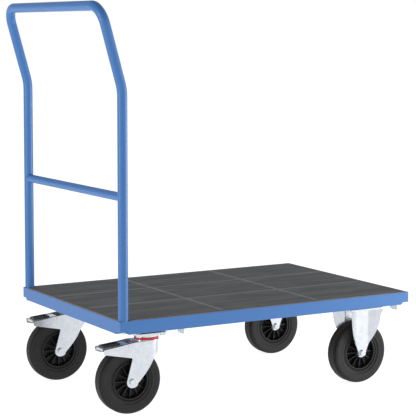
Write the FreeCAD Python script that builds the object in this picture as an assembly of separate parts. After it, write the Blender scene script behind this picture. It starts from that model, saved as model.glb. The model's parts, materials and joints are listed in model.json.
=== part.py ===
import FreeCAD, Part
import math
import os

from FreeCAD import Vector

# Platform cart with a push bow, two braked swivel castors at the bow end and two fixed castors.
# Millimetres. +X is the way the cart is pushed, +Y its left, +Z up. The wheels stand on z = 0 and
# the origin is under the middle of the whole cart's box.

# Platform
DECK_LENGTH = 1046.0
DECK_WIDTH = 713.0
DECK_HEIGHT = 298.5
RAIL_HEIGHT = 40.0
RAIL_WALL = 3.0
LEDGE_WIDTH = 28.0
FLANGE_WIDTH = 20.0
BOARD_THICKNESS = 15.0
MAT_THICKNESS = 1.2
MAT_RISE = 1.5
MAT_INSET = 6.0
BOARD_GAP = 0.4
CORNER_SIZE = 36.0
NOTCH_SIDE = 22.0
NOTCH_HEIGHT = 7.5
LUG_WIDTH = 38.0
LUG_DROP = 22.0
LUGS_FROM_END = (226.0, 1020.0)
TILE_LENGTH = 344.0
TILE_WIDTH = 232.0
FIRST_TILE_X = 356.0
FIRST_TILE_Y = 249.0
INLAY_WIDTH = 13.0
INLAY_EDGE_GAP = 20.0
INLAY_DEPTH = 0.7
INLAY_THICKNESS = 0.6

# Push bow
TUBE_RADIUS = 15.0
TUBE_WALL = 2.0
POST_FROM_END = 17.5
POST_FROM_SIDE = 15.2
BOW_BEND_HEIGHT = 973.0
BOW_TOP_HEIGHT = 1215.0
BOW_SET_BACK = 68.5
BOW_CORNER_RADIUS = 55.0
BOW_BEND_RADIUS = 150.0
CROSSBAR_HEIGHT = 661.0
CROSSBAR_RADIUS = 13.0
SPIGOT_RADIUS = 12.0
SPIGOT_LENGTH_UP = 70.0

# Wheels
WHEEL_RADIUS = 100.0
WHEEL_WIDTH = 50.0
RIM_RADIUS = 60.0
HUB_RADIUS = 19.0
HUB_LENGTH = 55.0
BEARING_RADIUS = 15.0
SLEEVE_RADIUS = 10.0
SLEEVE_CLEARANCE = 0.05
AXLE_RADIUS = 6.0
RIB_COUNT = 12

# Castors
SWIVEL_HEIGHT = 243.0
FIXED_HEIGHT = 249.0
PLATE_THICKNESS = 6.0
RACE_BOTTOM = 229.0
BOLT_SPACING_X = 80.0
BOLT_SPACING_Y = 60.0
BOLT_RADIUS = 5.0
CHEEK_THICKNESS = 3.0
SWIVEL_FROM_END = 137.5
SWIVEL_FROM_SIDE = 100.0
SWIVEL_TRAIL = 62.0
SWIVEL_TURN = {"right": -2.0, "left": -3.0}
SWIVEL_CHEEK_OUT = 35.0
FORK_TOP = 221.5
SEAL_RADIUS = 37.5
KINGPIN_RADIUS = 6.0
FIXED_FROM_END = 909.5
FIXED_FROM_SIDE = 97.0
FIXED_CHEEK_OUT = 33.0
FIXED_CREASE = 24.0
FIXED_FLARE = 37.0
FIXED_PLATE_X = 130.0
FIXED_PLATE_Y = 116.0
SWIVEL_PLATE_X = 100.0
SWIVEL_PLATE_Y = 85.0

# Brake
BRAKE_PIN_X = -70.0
BRAKE_PIN_Z = 208.0
BRAKE_PIN_RADIUS = 3.5
BRAKE_TRAVEL = 12.0
PEDAL_END_X = -154.0
PEDAL_WIDTH = 45.0

BOW_OVERHANG = BOW_SET_BACK + TUBE_RADIUS - POST_FROM_END
REAR = (BOW_OVERHANG - DECK_LENGTH) / 2
FRONT = REAR + DECK_LENGTH
DECK_MIDDLE = (REAR + FRONT) / 2
RIGHT = -DECK_WIDTH / 2
RAIL_BOTTOM = DECK_HEIGHT - RAIL_HEIGHT
MAT_TOP = DECK_HEIGHT + MAT_RISE
LEDGE_TOP = MAT_TOP - MAT_THICKNESS - BOARD_THICKNESS
POST_X = REAR + POST_FROM_END
POST_Y = RIGHT + POST_FROM_SIDE
SWIVEL_X = REAR + SWIVEL_FROM_END
FIXED_X = REAR + FIXED_FROM_END
SIDES = {"right": 1, "left": -1}
X_AXIS = Vector(1, 0, 0)
Y_AXIS = Vector(0, 1, 0)
Z_AXIS = Vector(0, 0, 1)
ORIGIN = Vector(0, 0, 0)

os.makedirs("parts", exist_ok=True)


def save(name, shapes):
    """Write one node, which is one solid or a group of separate solids."""
    shape = Part.Compound(shapes) if isinstance(shapes, list) else shapes
    shape.exportStep("parts/" + name + ".step")


def box(x0, x1, y0, y1, z0, z1):
    return Part.makeBox(x1 - x0, y1 - y0, z1 - z0, Vector(x0, y0, z0))


def rod(start, axis, radius, length):
    return Part.makeCylinder(radius, length, start, axis)


def ring(start, axis, inner, outer, length):
    return rod(start, axis, outer, length).cut(rod(start, axis, inner, length))


def face_xz(points, y):
    corners = [Vector(x, y, z) for x, z in points]
    return Part.Face(Part.makePolygon(corners + corners[:1]))


def plate_xz(points, y0, y1):
    """A flat plate with its outline in the XZ plane, from y0 to y1."""
    return face_xz(points, y0).extrude(Vector(0, y1 - y0, 0))


def turned_xz(shape, angle, x, z):
    return shape.rotated(Vector(x, 0, z), Y_AXIS, angle)


def mirrored_y(shape):
    return shape.mirror(ORIGIN, Y_AXIS)


def hex_prism(centre, axis, across_flats, height):
    """A bolt head or nut, standing on centre and pointing along axis."""
    radius = across_flats / math.sqrt(3)
    corners = []
    for step in range(7):
        angle = math.radians(60 * step)
        corners.append(Vector(radius * math.cos(angle), radius * math.sin(angle), 0))
    prism = Part.Face(Part.makePolygon(corners)).extrude(Vector(0, 0, height))
    chamfer = Part.makeCone(radius - 0.4, radius + height - 0.4, height).fuse(
        Part.makeCylinder(radius + 1, height - 1, Vector(0, 0, 1)))
    prism = prism.common(chamfer)
    prism.Placement = FreeCAD.Placement(centre, FreeCAD.Rotation(Z_AXIS, axis))
    return prism


def round_edges(shape, radius, wanted):
    """Round the straight or curved edges whose middle point satisfies wanted(point)."""
    edges = []
    for edge in shape.Edges:
        middle = edge.valueAt((edge.FirstParameter + edge.LastParameter) / 2)
        if wanted(middle):
            edges.append(edge)
    return shape.makeFillet(radius, edges)


# ---------------------------------------------------------------- platform frame

def rail(length):
    """Folded steel rail along +X from the origin, its outer face on y = 0."""
    top = DECK_HEIGHT
    bottom = RAIL_BOTTOM
    section = [
        (0, bottom), (FLANGE_WIDTH, bottom), (FLANGE_WIDTH, bottom + RAIL_WALL),
        (RAIL_WALL, bottom + RAIL_WALL), (RAIL_WALL, LEDGE_TOP - RAIL_WALL),
        (LEDGE_WIDTH, LEDGE_TOP - RAIL_WALL), (LEDGE_WIDTH, LEDGE_TOP),
        (RAIL_WALL, LEDGE_TOP), (RAIL_WALL, top), (0, top)]
    corners = [Vector(0, y, z) for y, z in section]
    body = Part.Face(Part.makePolygon(corners + corners[:1])).extrude(Vector(length, 0, 0))
    return round_edges(body, 1.2, lambda p: abs(p.y) < 0.1 and abs(p.x - length / 2) < 0.1)


def side_rail():
    body = rail(DECK_LENGTH - 2 * CORNER_SIZE)
    body.translate(Vector(REAR + CORNER_SIZE, RIGHT, 0))
    return body


def end_rail():
    """The rail across the bow end."""
    body = rail(DECK_WIDTH - 2 * CORNER_SIZE)
    body.rotate(ORIGIN, Z_AXIS, -90)
    body.translate(Vector(REAR, -RIGHT - CORNER_SIZE, 0))
    return body


def corner_block(has_socket):
    """Welded corner at the bow end's right; the socket holds the push bow's spigot."""
    x0 = REAR
    y0 = RIGHT
    size = CORNER_SIZE
    block = box(x0, x0 + size, y0, y0 + size, RAIL_BOTTOM, DECK_HEIGHT)
    if not has_socket:
        wall = RAIL_WALL
        block = block.cut(box(x0 + wall, x0 + size, y0 + wall, y0 + size, LEDGE_TOP, DECK_HEIGHT))
    wide = NOTCH_SIDE + NOTCH_HEIGHT
    low = RAIL_BOTTOM - 1
    lower = [Vector(x0 - 5, y0 - 5, low), Vector(x0 + wide + 1, y0 - 5, low),
             Vector(x0 + wide + 1, y0 + wide + 1, low), Vector(x0 - 5, y0 + wide + 1, low)]
    high = RAIL_BOTTOM + NOTCH_HEIGHT
    upper = [Vector(x0 - 5, y0 - 5, high), Vector(x0 + NOTCH_SIDE, y0 - 5, high),
             Vector(x0 + NOTCH_SIDE, y0 + NOTCH_SIDE, high), Vector(x0 - 5, y0 + NOTCH_SIDE, high)]
    wires = [Part.makePolygon(corners + corners[:1]) for corners in (lower, upper)]
    block = block.cut(Part.makeLoft(wires, True, True))
    block = round_edges(
        block, 1.2, lambda p: abs(p.x - x0) < 0.1 and abs(p.y - y0) < 0.1)
    block = round_edges(
        block, 1.0, lambda p: abs(p.z - DECK_HEIGHT) < 0.1 and min(p.x - x0, p.y - y0) < 1)
    if has_socket:
        bore = rod(Vector(POST_X, POST_Y, RAIL_BOTTOM - 1), Z_AXIS, SPIGOT_RADIUS + 0.1,
                   RAIL_HEIGHT + 2)
        block = block.cut(bore)
    return block


def cross_member(x, inset, bottom):
    """Channel across the frame that carries two castors; its ends are cut on the slant."""
    half = SWIVEL_PLATE_X / 2 + 2
    wall = 3.0
    slant_low = bottom + 3.5
    outline = [
        (RIGHT + 60, bottom), (-RIGHT - 60, bottom), (-RIGHT - 60, slant_low),
        (-RIGHT - 8, RAIL_BOTTOM), (RIGHT + 8, RAIL_BOTTOM), (RIGHT + 60, slant_low)]
    corners = [Vector(x - half, y, z) for y, z in outline]
    solid = Part.Face(Part.makePolygon(corners + corners[:1])).extrude(Vector(2 * half, 0, 0))
    hollow = box(x - half + wall, x + half - wall, RIGHT, -RIGHT, bottom + wall, RAIL_BOTTOM + 1)
    channel = solid.cut(hollow)
    for side in (1, -1):
        for hole in bolt_places(x, side * (RIGHT + inset)):
            channel = channel.cut(rod(Vector(hole.x, hole.y, bottom - 1), Z_AXIS,
                                      BOLT_RADIUS + 0.5, wall + 2))
    return channel


def bolt_places(x, y):
    places = []
    for along in (-1, 1):
        for across in (-1, 1):
            places.append(Vector(x + along * BOLT_SPACING_X / 2, y + across * BOLT_SPACING_Y / 2, 0))
    return places


def lug(x):
    """Bent stop lug under the right rail, ahead of a castor, with its upright facing the bow."""
    foot_y = RIGHT + 8
    upright_y = RIGHT + 28
    end_y = upright_y + LUG_WIDTH
    upright = box(x, x + 3, upright_y, end_y, RAIL_BOTTOM - LUG_DROP, RAIL_BOTTOM)
    foot = box(x - 20, x + 3, foot_y, end_y, RAIL_BOTTOM - 2, RAIL_BOTTOM)
    return upright.fuse(foot).removeSplitter()


# ---------------------------------------------------------------- deck

def deck_outline(inset, z0, z1):
    """Sheet inside the rails, cut out round the two sockets of the push bow."""
    gap = RAIL_WALL + BOARD_GAP + inset
    sheet = box(REAR + gap, FRONT - gap, RIGHT + gap, -RIGHT - gap, z0, z1)
    reach = CORNER_SIZE + BOARD_GAP + inset
    corner = box(REAR, REAR + reach, RIGHT, RIGHT + reach, z0 - 1, z1 + 1)
    return sheet.cut(corner).cut(mirrored_y(corner))


def inlay_strips(width, z0, z1):
    """The light lines that part the mat into nine fields."""
    strips = []
    for step in (0, 1):
        x = REAR + FIRST_TILE_X + step * TILE_LENGTH
        y = RIGHT + FIRST_TILE_Y + step * TILE_WIDTH
        strips.append(box(x - width / 2, x + width / 2, RIGHT + INLAY_EDGE_GAP,
                          -RIGHT - INLAY_EDGE_GAP, z0, z1))
        strips.append(box(REAR + INLAY_EDGE_GAP, FRONT - INLAY_EDGE_GAP, y - width / 2,
                          y + width / 2, z0, z1))
    grid = strips[0]
    for strip in strips[1:]:
        grid = grid.fuse(strip)
    return grid.removeSplitter()


def deck_screws():
    """Countersunk screws that come up through the rails' ledges into the board."""
    screws = []
    inset = 22.0
    for side in (1, -1):
        for step in range(4):
            x = REAR + 160 + step * (DECK_LENGTH - 320) / 3
            screws.append(deck_screw(x, side * (RIGHT + inset)))
    for x in (REAR + inset, FRONT - inset):
        for side in (1, -1):
            screws.append(deck_screw(x, side * 150.0))
    return screws


def deck_screw(x, y):
    head = rod(Vector(x, y, LEDGE_TOP - RAIL_WALL - 2.5), Z_AXIS, 5, 2.5)
    shank = rod(Vector(x, y, LEDGE_TOP - RAIL_WALL), Z_AXIS, 2.2, RAIL_WALL + 9)
    return head.fuse(shank)


def drill(shape, screws):
    for screw in screws:
        shape = shape.cut(screw)
    return shape


# ---------------------------------------------------------------- push bow

def fillet_path(points, radii):
    """Wire of straight runs through points, joined by tangent arcs of the given radii."""
    edges = []
    start = points[0]
    for index in range(1, len(points) - 1):
        before, corner, after = points[index - 1], points[index], points[index + 1]
        back = (before - corner).normalize()
        ahead = (after - corner).normalize()
        half = back.getAngle(ahead) / 2
        reach = radii[index - 1] / math.tan(half)
        enter = corner + back * reach
        leave = corner + ahead * reach
        bisector = (back + ahead).normalize()
        middle = corner + bisector * (radii[index - 1] / math.sin(half) - radii[index - 1])
        edges.append(Part.LineSegment(start, enter).toShape())
        edges.append(Part.Arc(enter, middle, leave).toShape())
        start = leave
    edges.append(Part.LineSegment(start, points[-1]).toShape())
    return Part.Wire(edges)


def sweep(path, radius, start, direction):
    circle = Part.Wire([Part.makeCircle(radius, start, direction)])
    return path.makePipeShell([circle], True, True)


def bow_points():
    top_x = POST_X - BOW_SET_BACK
    right = [Vector(POST_X, POST_Y, DECK_HEIGHT), Vector(POST_X, POST_Y, BOW_BEND_HEIGHT),
             Vector(top_x, POST_Y, BOW_TOP_HEIGHT)]
    left = [Vector(p.x, -p.y, p.z) for p in reversed(right)]
    return right + left


def push_bow():
    points = bow_points()
    radii = [BOW_BEND_RADIUS, BOW_CORNER_RADIUS, BOW_CORNER_RADIUS, BOW_BEND_RADIUS]
    path = fillet_path(points, radii)
    outer = sweep(path, TUBE_RADIUS, points[0], Z_AXIS)
    inner = sweep(path, TUBE_RADIUS - TUBE_WALL, points[0], Z_AXIS)
    return outer.cut(inner)


def crossbar():
    start = Vector(POST_X, POST_Y, CROSSBAR_HEIGHT)
    bar = ring(start, Y_AXIS, CROSSBAR_RADIUS - TUBE_WALL, CROSSBAR_RADIUS, -2 * POST_Y)
    for side in (1, -1):
        post = rod(Vector(POST_X, side * POST_Y, CROSSBAR_HEIGHT - 40), Z_AXIS, TUBE_RADIUS, 80)
        bar = bar.cut(post)
    return max(bar.Solids, key=lambda solid: solid.Volume)


def spigot():
    """Plug in the post's foot that drops into the corner's socket."""
    low = RAIL_BOTTOM + NOTCH_HEIGHT
    lower = rod(Vector(POST_X, POST_Y, low), Z_AXIS, SPIGOT_RADIUS, DECK_HEIGHT - low)
    upper = rod(Vector(POST_X, POST_Y, DECK_HEIGHT), Z_AXIS, TUBE_RADIUS - TUBE_WALL - 0.05,
                SPIGOT_LENGTH_UP)
    hole = rod(Vector(POST_X, POST_Y, low - 1), Z_AXIS, 4.0, 40)
    return lower.fuse(upper).cut(hole)


def bow_bolt():
    """Bolt with its washer face, up through the socket into the spigot."""
    low = RAIL_BOTTOM + NOTCH_HEIGHT
    head = hex_prism(Vector(POST_X, POST_Y, low - 1.6 - 5.3), Z_AXIS, 13, 5.3)
    washer = rod(Vector(POST_X, POST_Y, low - 1.6), Z_AXIS, 10.5, 1.6)
    shank = rod(Vector(POST_X, POST_Y, low), Z_AXIS, 3.95, 30)
    return head.fuse(washer).fuse(shank)


# ---------------------------------------------------------------- wheels

def revolved(profile):
    """Solid of revolution about the Y axis; profile holds (radius, y) points."""
    corners = [Vector(radius, y, 0) for radius, y in profile]
    face = Part.Face(Part.makePolygon(corners + corners[:1]))
    return face.revolve(ORIGIN, Y_AXIS, 360)


def tyre():
    """Solid rubber tyre with stepped side walls and two shoulder grooves each side."""
    half = WHEEL_WIDTH / 2
    top = WHEEL_RADIUS
    one_side = [
        (RIM_RADIUS, 19.0), (RIM_RADIUS + 1.5, 21.5), (RIM_RADIUS + 4, 22.0), (70.0, 22.5),
        (73.0, 24.4), (88.0, half), (93.0, half - 0.6), (96.5, half - 2.2), (98.6, half - 4.4),
        (97.2, half - 5.4), (97.2, half - 6.2), (99.4, half - 7.2), (99.7, half - 9.2),
        (98.2, half - 10.2), (98.2, half - 11.0), (top, half - 12.0)]
    other_side = [(radius, -y) for radius, y in reversed(one_side)]
    return revolved(one_side + other_side)


def wheel_centre():
    """Moulded centre: hub, thin web, ribs both sides and a rim with a raised lip."""
    lip = 22.0
    profile = [
        (BEARING_RADIUS, -HUB_LENGTH / 2), (HUB_RADIUS, -HUB_LENGTH / 2), (HUB_RADIUS + 2, -3),
        (51.0, -3), (53.0, -lip), (57.5, -lip), (RIM_RADIUS, -19.0), (RIM_RADIUS, 19.0),
        (57.5, lip), (53.0, lip), (51.0, 3), (HUB_RADIUS + 2, 3), (HUB_RADIUS, HUB_LENGTH / 2),
        (BEARING_RADIUS, HUB_LENGTH / 2)]
    body = revolved(profile)
    outline = [(HUB_RADIUS - 1, -21.0), (HUB_RADIUS + 2, -21.0), (52.0, -15.0), (52.0, 15.0),
               (HUB_RADIUS + 2, 21.0), (HUB_RADIUS - 1, 21.0)]
    corners = [Vector(x, y, -1.6) for x, y in outline]
    rib = Part.Face(Part.makePolygon(corners + corners[:1])).extrude(Vector(0, 0, 3.2))
    ribs = []
    for step in range(RIB_COUNT):
        ribs.append(rib.rotated(ORIGIN, Y_AXIS, 360 * step / RIB_COUNT))
    return body.multiFuse(ribs).removeSplitter()


def roller_bearing():
    """Roller cage pressed in the hub; it runs on the axle's sleeve."""
    return ring(Vector(0, -HUB_LENGTH / 2, 0), Y_AXIS, SLEEVE_RADIUS + SLEEVE_CLEARANCE,
                BEARING_RADIUS, HUB_LENGTH)


def axle_set(cheek_out):
    """Axle bolt, nut and sleeve about the Y axis, for a fork this wide from its middle."""
    cheek_in = cheek_out - CHEEK_THICKNESS
    head = hex_prism(Vector(0, -cheek_out, 0), Vector(0, -1, 0), 18, 7)
    bolt = head.fuse(rod(Vector(0, -cheek_out, 0), Y_AXIS, AXLE_RADIUS, 2 * cheek_out + 14))
    nut = hex_prism(Vector(0, cheek_out, 0), Y_AXIS, 18, 10)
    nut = nut.cut(rod(Vector(0, cheek_out - 1, 0), Y_AXIS, AXLE_RADIUS, 20))
    sleeve = ring(Vector(0, -cheek_in, 0), Y_AXIS, AXLE_RADIUS, SLEEVE_RADIUS, 2 * cheek_in)
    return bolt, nut, sleeve


# ---------------------------------------------------------------- castors

def mounting_plate(length, width, top):
    bottom = top - PLATE_THICKNESS
    plate = box(-length / 2, length / 2, -width / 2, width / 2, bottom, top)
    plate = round_edges(
        plate, 8.0, lambda p: abs(abs(p.x) - length / 2) < 0.1 and abs(abs(p.y) - width / 2) < 0.1)
    for hole in bolt_places(0, 0):
        plate = plate.cut(rod(Vector(hole.x, hole.y, bottom - 1), Z_AXIS,
                              BOLT_RADIUS + 0.5, PLATE_THICKNESS + 2))
    return plate


def castor_bolts(x, y, top):
    bolts = []
    nuts = []
    for place in bolt_places(x, y):
        under = Vector(place.x, place.y, top - PLATE_THICKNESS)
        shank = rod(under, Z_AXIS, BOLT_RADIUS, 20)
        bolts.append(hex_prism(under, Vector(0, 0, -1), 16, 5.5).fuse(shank))
        seat = Vector(place.x, place.y, top + 3)
        nuts.append(hex_prism(seat, Z_AXIS, 16, 8).cut(rod(under, Z_AXIS, BOLT_RADIUS, 30)))
    return bolts, nuts


def fixed_fork():
    """Fixed castor's plate and two legs, whose edges flare outwards from upright creases."""
    bottom = 89.0
    leg_top = FIXED_HEIGHT - PLATE_THICKNESS
    taper = 128.0
    inner = FIXED_CHEEK_OUT - CHEEK_THICKNESS
    panel = plate_xz([(-FIXED_CREASE, leg_top), (-FIXED_CREASE, taper), (-16, 104),
                      (-9.5, bottom), (9.5, bottom), (16, 104), (FIXED_CREASE, taper),
                      (FIXED_CREASE, leg_top)], inner, FIXED_CHEEK_OUT)
    arc = Part.Arc(Vector(0, 0, taper), Vector(22, 0, 158), Vector(39, 0, 198)).toShape()
    edges = [arc, Part.LineSegment(Vector(39, 0, 198), Vector(41, 0, leg_top)).toShape(),
             Part.LineSegment(Vector(41, 0, leg_top), Vector(0, 0, leg_top)).toShape(),
             Part.LineSegment(Vector(0, 0, leg_top), Vector(0, 0, taper)).toShape()]
    flange = Part.Face(Part.Wire(edges)).extrude(Vector(0, CHEEK_THICKNESS, 0))
    flange.rotate(ORIGIN, Z_AXIS, FIXED_FLARE)
    flange.translate(Vector(FIXED_CREASE, inner, 0))
    filler = rod(Vector(FIXED_CREASE, inner, taper), Z_AXIS, CHEEK_THICKNESS, leg_top - taper)
    filler = filler.common(box(-200, 200, inner, inner + 10, 0, 300))
    leg = panel.multiFuse([flange, flange.mirror(ORIGIN, X_AXIS), filler,
                           filler.mirror(ORIGIN, X_AXIS)])
    leg = leg.cut(rod(Vector(0, inner - 1, WHEEL_RADIUS), Y_AXIS, AXLE_RADIUS, 8))
    plate = mounting_plate(FIXED_PLATE_X, FIXED_PLATE_Y, FIXED_HEIGHT)
    return plate.multiFuse([leg, mirrored_y(leg)]).removeSplitter()


def swivel_fork():
    """Swivel fork: two cheeks with long brake ends, a round front wall, a roof and a disc."""
    out = SWIVEL_CHEEK_OUT
    inner = out - CHEEK_THICKNESS
    roof_top = FORK_TOP - CHEEK_THICKNESS
    hub = -SWIVEL_TRAIL
    outline = [(0, roof_top), (-48, roof_top), (PEDAL_END_X - 1, 204), (PEDAL_END_X + 1, 190),
               (-64, 176), (-60.5, 171), (hub - 18.2, 101), (hub + 17, 94), (-18, 121), (4, 150),
               (12, 163), (12, roof_top)]
    cheek = plate_xz(outline, inner, out)
    cheek = cheek.fuse(rod(Vector(hub, inner, WHEEL_RADIUS), Y_AXIS, 18.2, CHEEK_THICKNESS))
    cheek = cheek.cut(box(1, 60, inner - 1, out + 1, 100, 300))
    cheek = cheek.cut(rod(Vector(hub, inner - 1, WHEEL_RADIUS), Y_AXIS, AXLE_RADIUS, 8))
    cheek = cheek.cut(rod(Vector(BRAKE_PIN_X, inner - 1, BRAKE_PIN_Z), Y_AXIS, BRAKE_PIN_RADIUS, 8))
    front_low = 160.0
    front = ring(Vector(0, 0, front_low), Z_AXIS, inner, out, roof_top - front_low)
    front = front.cut(box(-60, 0, -60, 60, 100, 300))
    front = front.cut(rod(Vector(1, 0, 147), X_AXIS, 41, 60))
    roof = box(-50, 0, -out, out, roof_top - CHEEK_THICKNESS, roof_top)
    roof = roof.fuse(rod(Vector(0, 0, roof_top - CHEEK_THICKNESS), Z_AXIS, out, CHEEK_THICKNESS))
    disc = rod(Vector(0, 0, roof_top), Z_AXIS, SEAL_RADIUS + 0.5, CHEEK_THICKNESS)
    fork = roof.multiFuse([disc, front, cheek, mirrored_y(cheek)])
    hole = rod(Vector(0, 0, roof_top - 10), Z_AXIS, KINGPIN_RADIUS + 0.05, 20)
    return fork.cut(hole).removeSplitter()


def swivel_plate():
    """Swivel castor's top plate with the upper race under it."""
    depth = SWIVEL_HEIGHT - PLATE_THICKNESS - RACE_BOTTOM
    race = rod(Vector(0, 0, RACE_BOTTOM), Z_AXIS, SEAL_RADIUS + 1, depth)
    plate = mounting_plate(SWIVEL_PLATE_X, SWIVEL_PLATE_Y, SWIVEL_HEIGHT).fuse(race)
    shank = rod(Vector(0, 0, 220), Z_AXIS, KINGPIN_RADIUS, 30)
    head = Part.makeCone(KINGPIN_RADIUS, 10, 4, Vector(0, 0, SWIVEL_HEIGHT - 4))
    return plate.cut(shank).cut(head)


def kingpin():
    low = FORK_TOP - 2 * CHEEK_THICKNESS - 9.5
    shank = rod(Vector(0, 0, low), Z_AXIS, KINGPIN_RADIUS, SWIVEL_HEIGHT - low)
    return shank.fuse(Part.makeCone(KINGPIN_RADIUS, 10, 4, Vector(0, 0, SWIVEL_HEIGHT - 4)))


def kingpin_nut():
    top = FORK_TOP - 2 * CHEEK_THICKNESS - 0.4
    nut = hex_prism(Vector(0, 0, top), Vector(0, 0, -1), 18, 8)
    return nut.cut(rod(Vector(0, 0, top - 20), Z_AXIS, KINGPIN_RADIUS, 30))


def swivel_balls():
    """Ball ring of the swivel bearing, seated under the upper race."""
    radius = 3.5
    height = RACE_BOTTOM - radius
    balls = []
    for step in range(18):
        angle = math.radians(20 * step)
        balls.append(Part.makeSphere(
            radius, Vector(29 * math.cos(angle), 29 * math.sin(angle), height)))
    return balls


def swivel_seal():
    return ring(Vector(0, 0, FORK_TOP + 0.4), Z_AXIS, SEAL_RADIUS - 2, SEAL_RADIUS,
                RACE_BOTTOM - FORK_TOP - 0.4)


def brake_pin():
    out = SWIVEL_CHEEK_OUT
    pin = rod(Vector(BRAKE_PIN_X, -out - 1.5, BRAKE_PIN_Z), Y_AXIS, BRAKE_PIN_RADIUS, 2 * out + 3)
    for y in (-out - 1.5, out):
        pin = pin.fuse(rod(Vector(BRAKE_PIN_X, y, BRAKE_PIN_Z), Y_AXIS, BRAKE_PIN_RADIUS + 1.8, 1.5))
    return pin


def brake_pedal():
    """Bent sheet pedal with a barrel round its pin and a turned-down toe edge."""
    half = PEDAL_WIDTH / 2
    outline = [(PEDAL_END_X, 206), (-142, 207.5), (-82, 213.5), (-70, 214), (-70, 211.5),
               (-82, 211), (-142, 205), (PEDAL_END_X + 2, 203.5), (PEDAL_END_X + 2, 199),
               (PEDAL_END_X, 199)]
    sheet = plate_xz(outline, -half, half)
    start = Vector(BRAKE_PIN_X, -half, BRAKE_PIN_Z)
    barrel = rod(start, Y_AXIS, 6, PEDAL_WIDTH)
    bore = rod(start, Y_AXIS, BRAKE_PIN_RADIUS + 0.05, PEDAL_WIDTH)
    return sheet.fuse(barrel).cut(bore).removeSplitter()


def brake_pad(pedal):
    """Ribbed rubber tread on the pedal."""
    half = PEDAL_WIDTH / 2 - 0.5
    slab = plate_xz([(-150, 211), (-92, 217), (-90, 212), (-150, 206)], -half, half)
    ribs = []
    for step in range(6):
        x = -145 + step * 10
        z = 211.4 + (x + 150) * 6 / 58
        ribs.append(box(x - 2, x + 2, -half + 2, half - 2, z - 2, z + 1.2))
    return slab.multiFuse(ribs).cut(pedal).removeSplitter()


def brake_block(pedal):
    """Block under the pedal whose face meets the tyre when the pedal is down."""
    hub = Vector(-SWIVEL_TRAIL, -20, WHEEL_RADIUS)
    sector = rod(hub, Y_AXIS, WHEEL_RADIUS + 16, 40).cut(rod(hub, Y_AXIS, WHEEL_RADIUS + 0.6, 40))
    sector = sector.common(box(-128, -98, -20, 20, 150, 230))
    sector = turned_xz(sector, BRAKE_TRAVEL, BRAKE_PIN_X, BRAKE_PIN_Z)
    below = plate_xz([(-140, 205.2), (-82, 211), (-82, 150), (-140, 150)], -20, 20)
    return sector.common(below).cut(pedal)


def placed_castor(shape, side):
    """Turn a swivel castor's piece to its rest heading and set it under its corner."""
    body = shape.copy()
    body.rotate(ORIGIN, Z_AXIS, SWIVEL_TURN[side])
    body.translate(Vector(SWIVEL_X, SIDES[side] * (RIGHT + SWIVEL_FROM_SIDE), 0))
    return body


def placed_wheel(shape, place, side):
    """Move a piece that is made round the Y axis to a wheel's place."""
    body = shape.copy()
    if place == "swivel":
        body.translate(Vector(-SWIVEL_TRAIL, 0, WHEEL_RADIUS))
        return placed_castor(body, side)
    body.translate(Vector(FIXED_X, SIDES[side] * (RIGHT + FIXED_FROM_SIDE), WHEEL_RADIUS))
    return body


# ---------------------------------------------------------------- assembly

def save_platform():
    right_rail = side_rail()
    rear_rail = end_rail()
    screws = deck_screws()
    front_rail = rear_rail.mirror(Vector(DECK_MIDDLE, 0, 0), X_AXIS)
    rails = {"side_rail_right": right_rail, "side_rail_left": mirrored_y(right_rail),
             "end_rail_rear": rear_rail, "end_rail_front": front_rail}
    for name, shape in rails.items():
        save(name, drill(shape, screws))
    socket = corner_block(True)
    plain = corner_block(False).mirror(Vector(DECK_MIDDLE, 0, 0), X_AXIS)
    save("corner_sockets", [socket, mirrored_y(socket)])
    save("corner_blocks_front", [plain, mirrored_y(plain)])
    save("cross_member_rear", cross_member(SWIVEL_X, SWIVEL_FROM_SIDE, SWIVEL_HEIGHT))
    save("cross_member_front", cross_member(FIXED_X, FIXED_FROM_SIDE, FIXED_HEIGHT))
    lugs = [lug(REAR + place) for place in LUGS_FROM_END]
    save("underframe_lugs", lugs + [mirrored_y(one) for one in lugs])
    board = deck_outline(0.0, LEDGE_TOP, LEDGE_TOP + BOARD_THICKNESS)
    save("deck_board", drill(board, screws))
    mat = deck_outline(MAT_INSET, MAT_TOP - MAT_THICKNESS, MAT_TOP)
    save("deck_mat", mat.cut(inlay_strips(INLAY_WIDTH, MAT_TOP - INLAY_DEPTH, MAT_TOP + 1)))
    save("deck_inlay", inlay_strips(INLAY_WIDTH, MAT_TOP - INLAY_DEPTH,
                                    MAT_TOP - INLAY_DEPTH + INLAY_THICKNESS))
    save("deck_screws", screws)


def save_push_bow():
    save("push_bow", push_bow())
    save("bow_crossbar", crossbar())
    save("bow_spigots", [spigot(), mirrored_y(spigot())])
    save("bow_bolts", [bow_bolt(), mirrored_y(bow_bolt())])


def save_castor_fixings():
    bolts = []
    nuts = []
    for side in (1, -1):
        for x, inset, top in ((SWIVEL_X, SWIVEL_FROM_SIDE, SWIVEL_HEIGHT),
                              (FIXED_X, FIXED_FROM_SIDE, FIXED_HEIGHT)):
            some_bolts, some_nuts = castor_bolts(x, side * (RIGHT + inset), top)
            bolts += some_bolts
            nuts += some_nuts
    save("castor_bolts", bolts)
    save("castor_nuts", nuts)


def save_fixed_castors():
    fork = fixed_fork()
    bolt, nut, sleeve = axle_set(FIXED_CHEEK_OUT)
    for side, sign in SIDES.items():
        body = fork.copy()
        body.translate(Vector(FIXED_X, sign * (RIGHT + FIXED_FROM_SIDE), 0))
        save("fixed_fork_" + side, body)
    save("fixed_axle_bolts", [placed_wheel(bolt, "fixed", side) for side in SIDES])
    save("fixed_axle_nuts", [placed_wheel(nut, "fixed", side) for side in SIDES])
    save("fixed_axle_sleeves", [placed_wheel(sleeve, "fixed", side) for side in SIDES])


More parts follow.
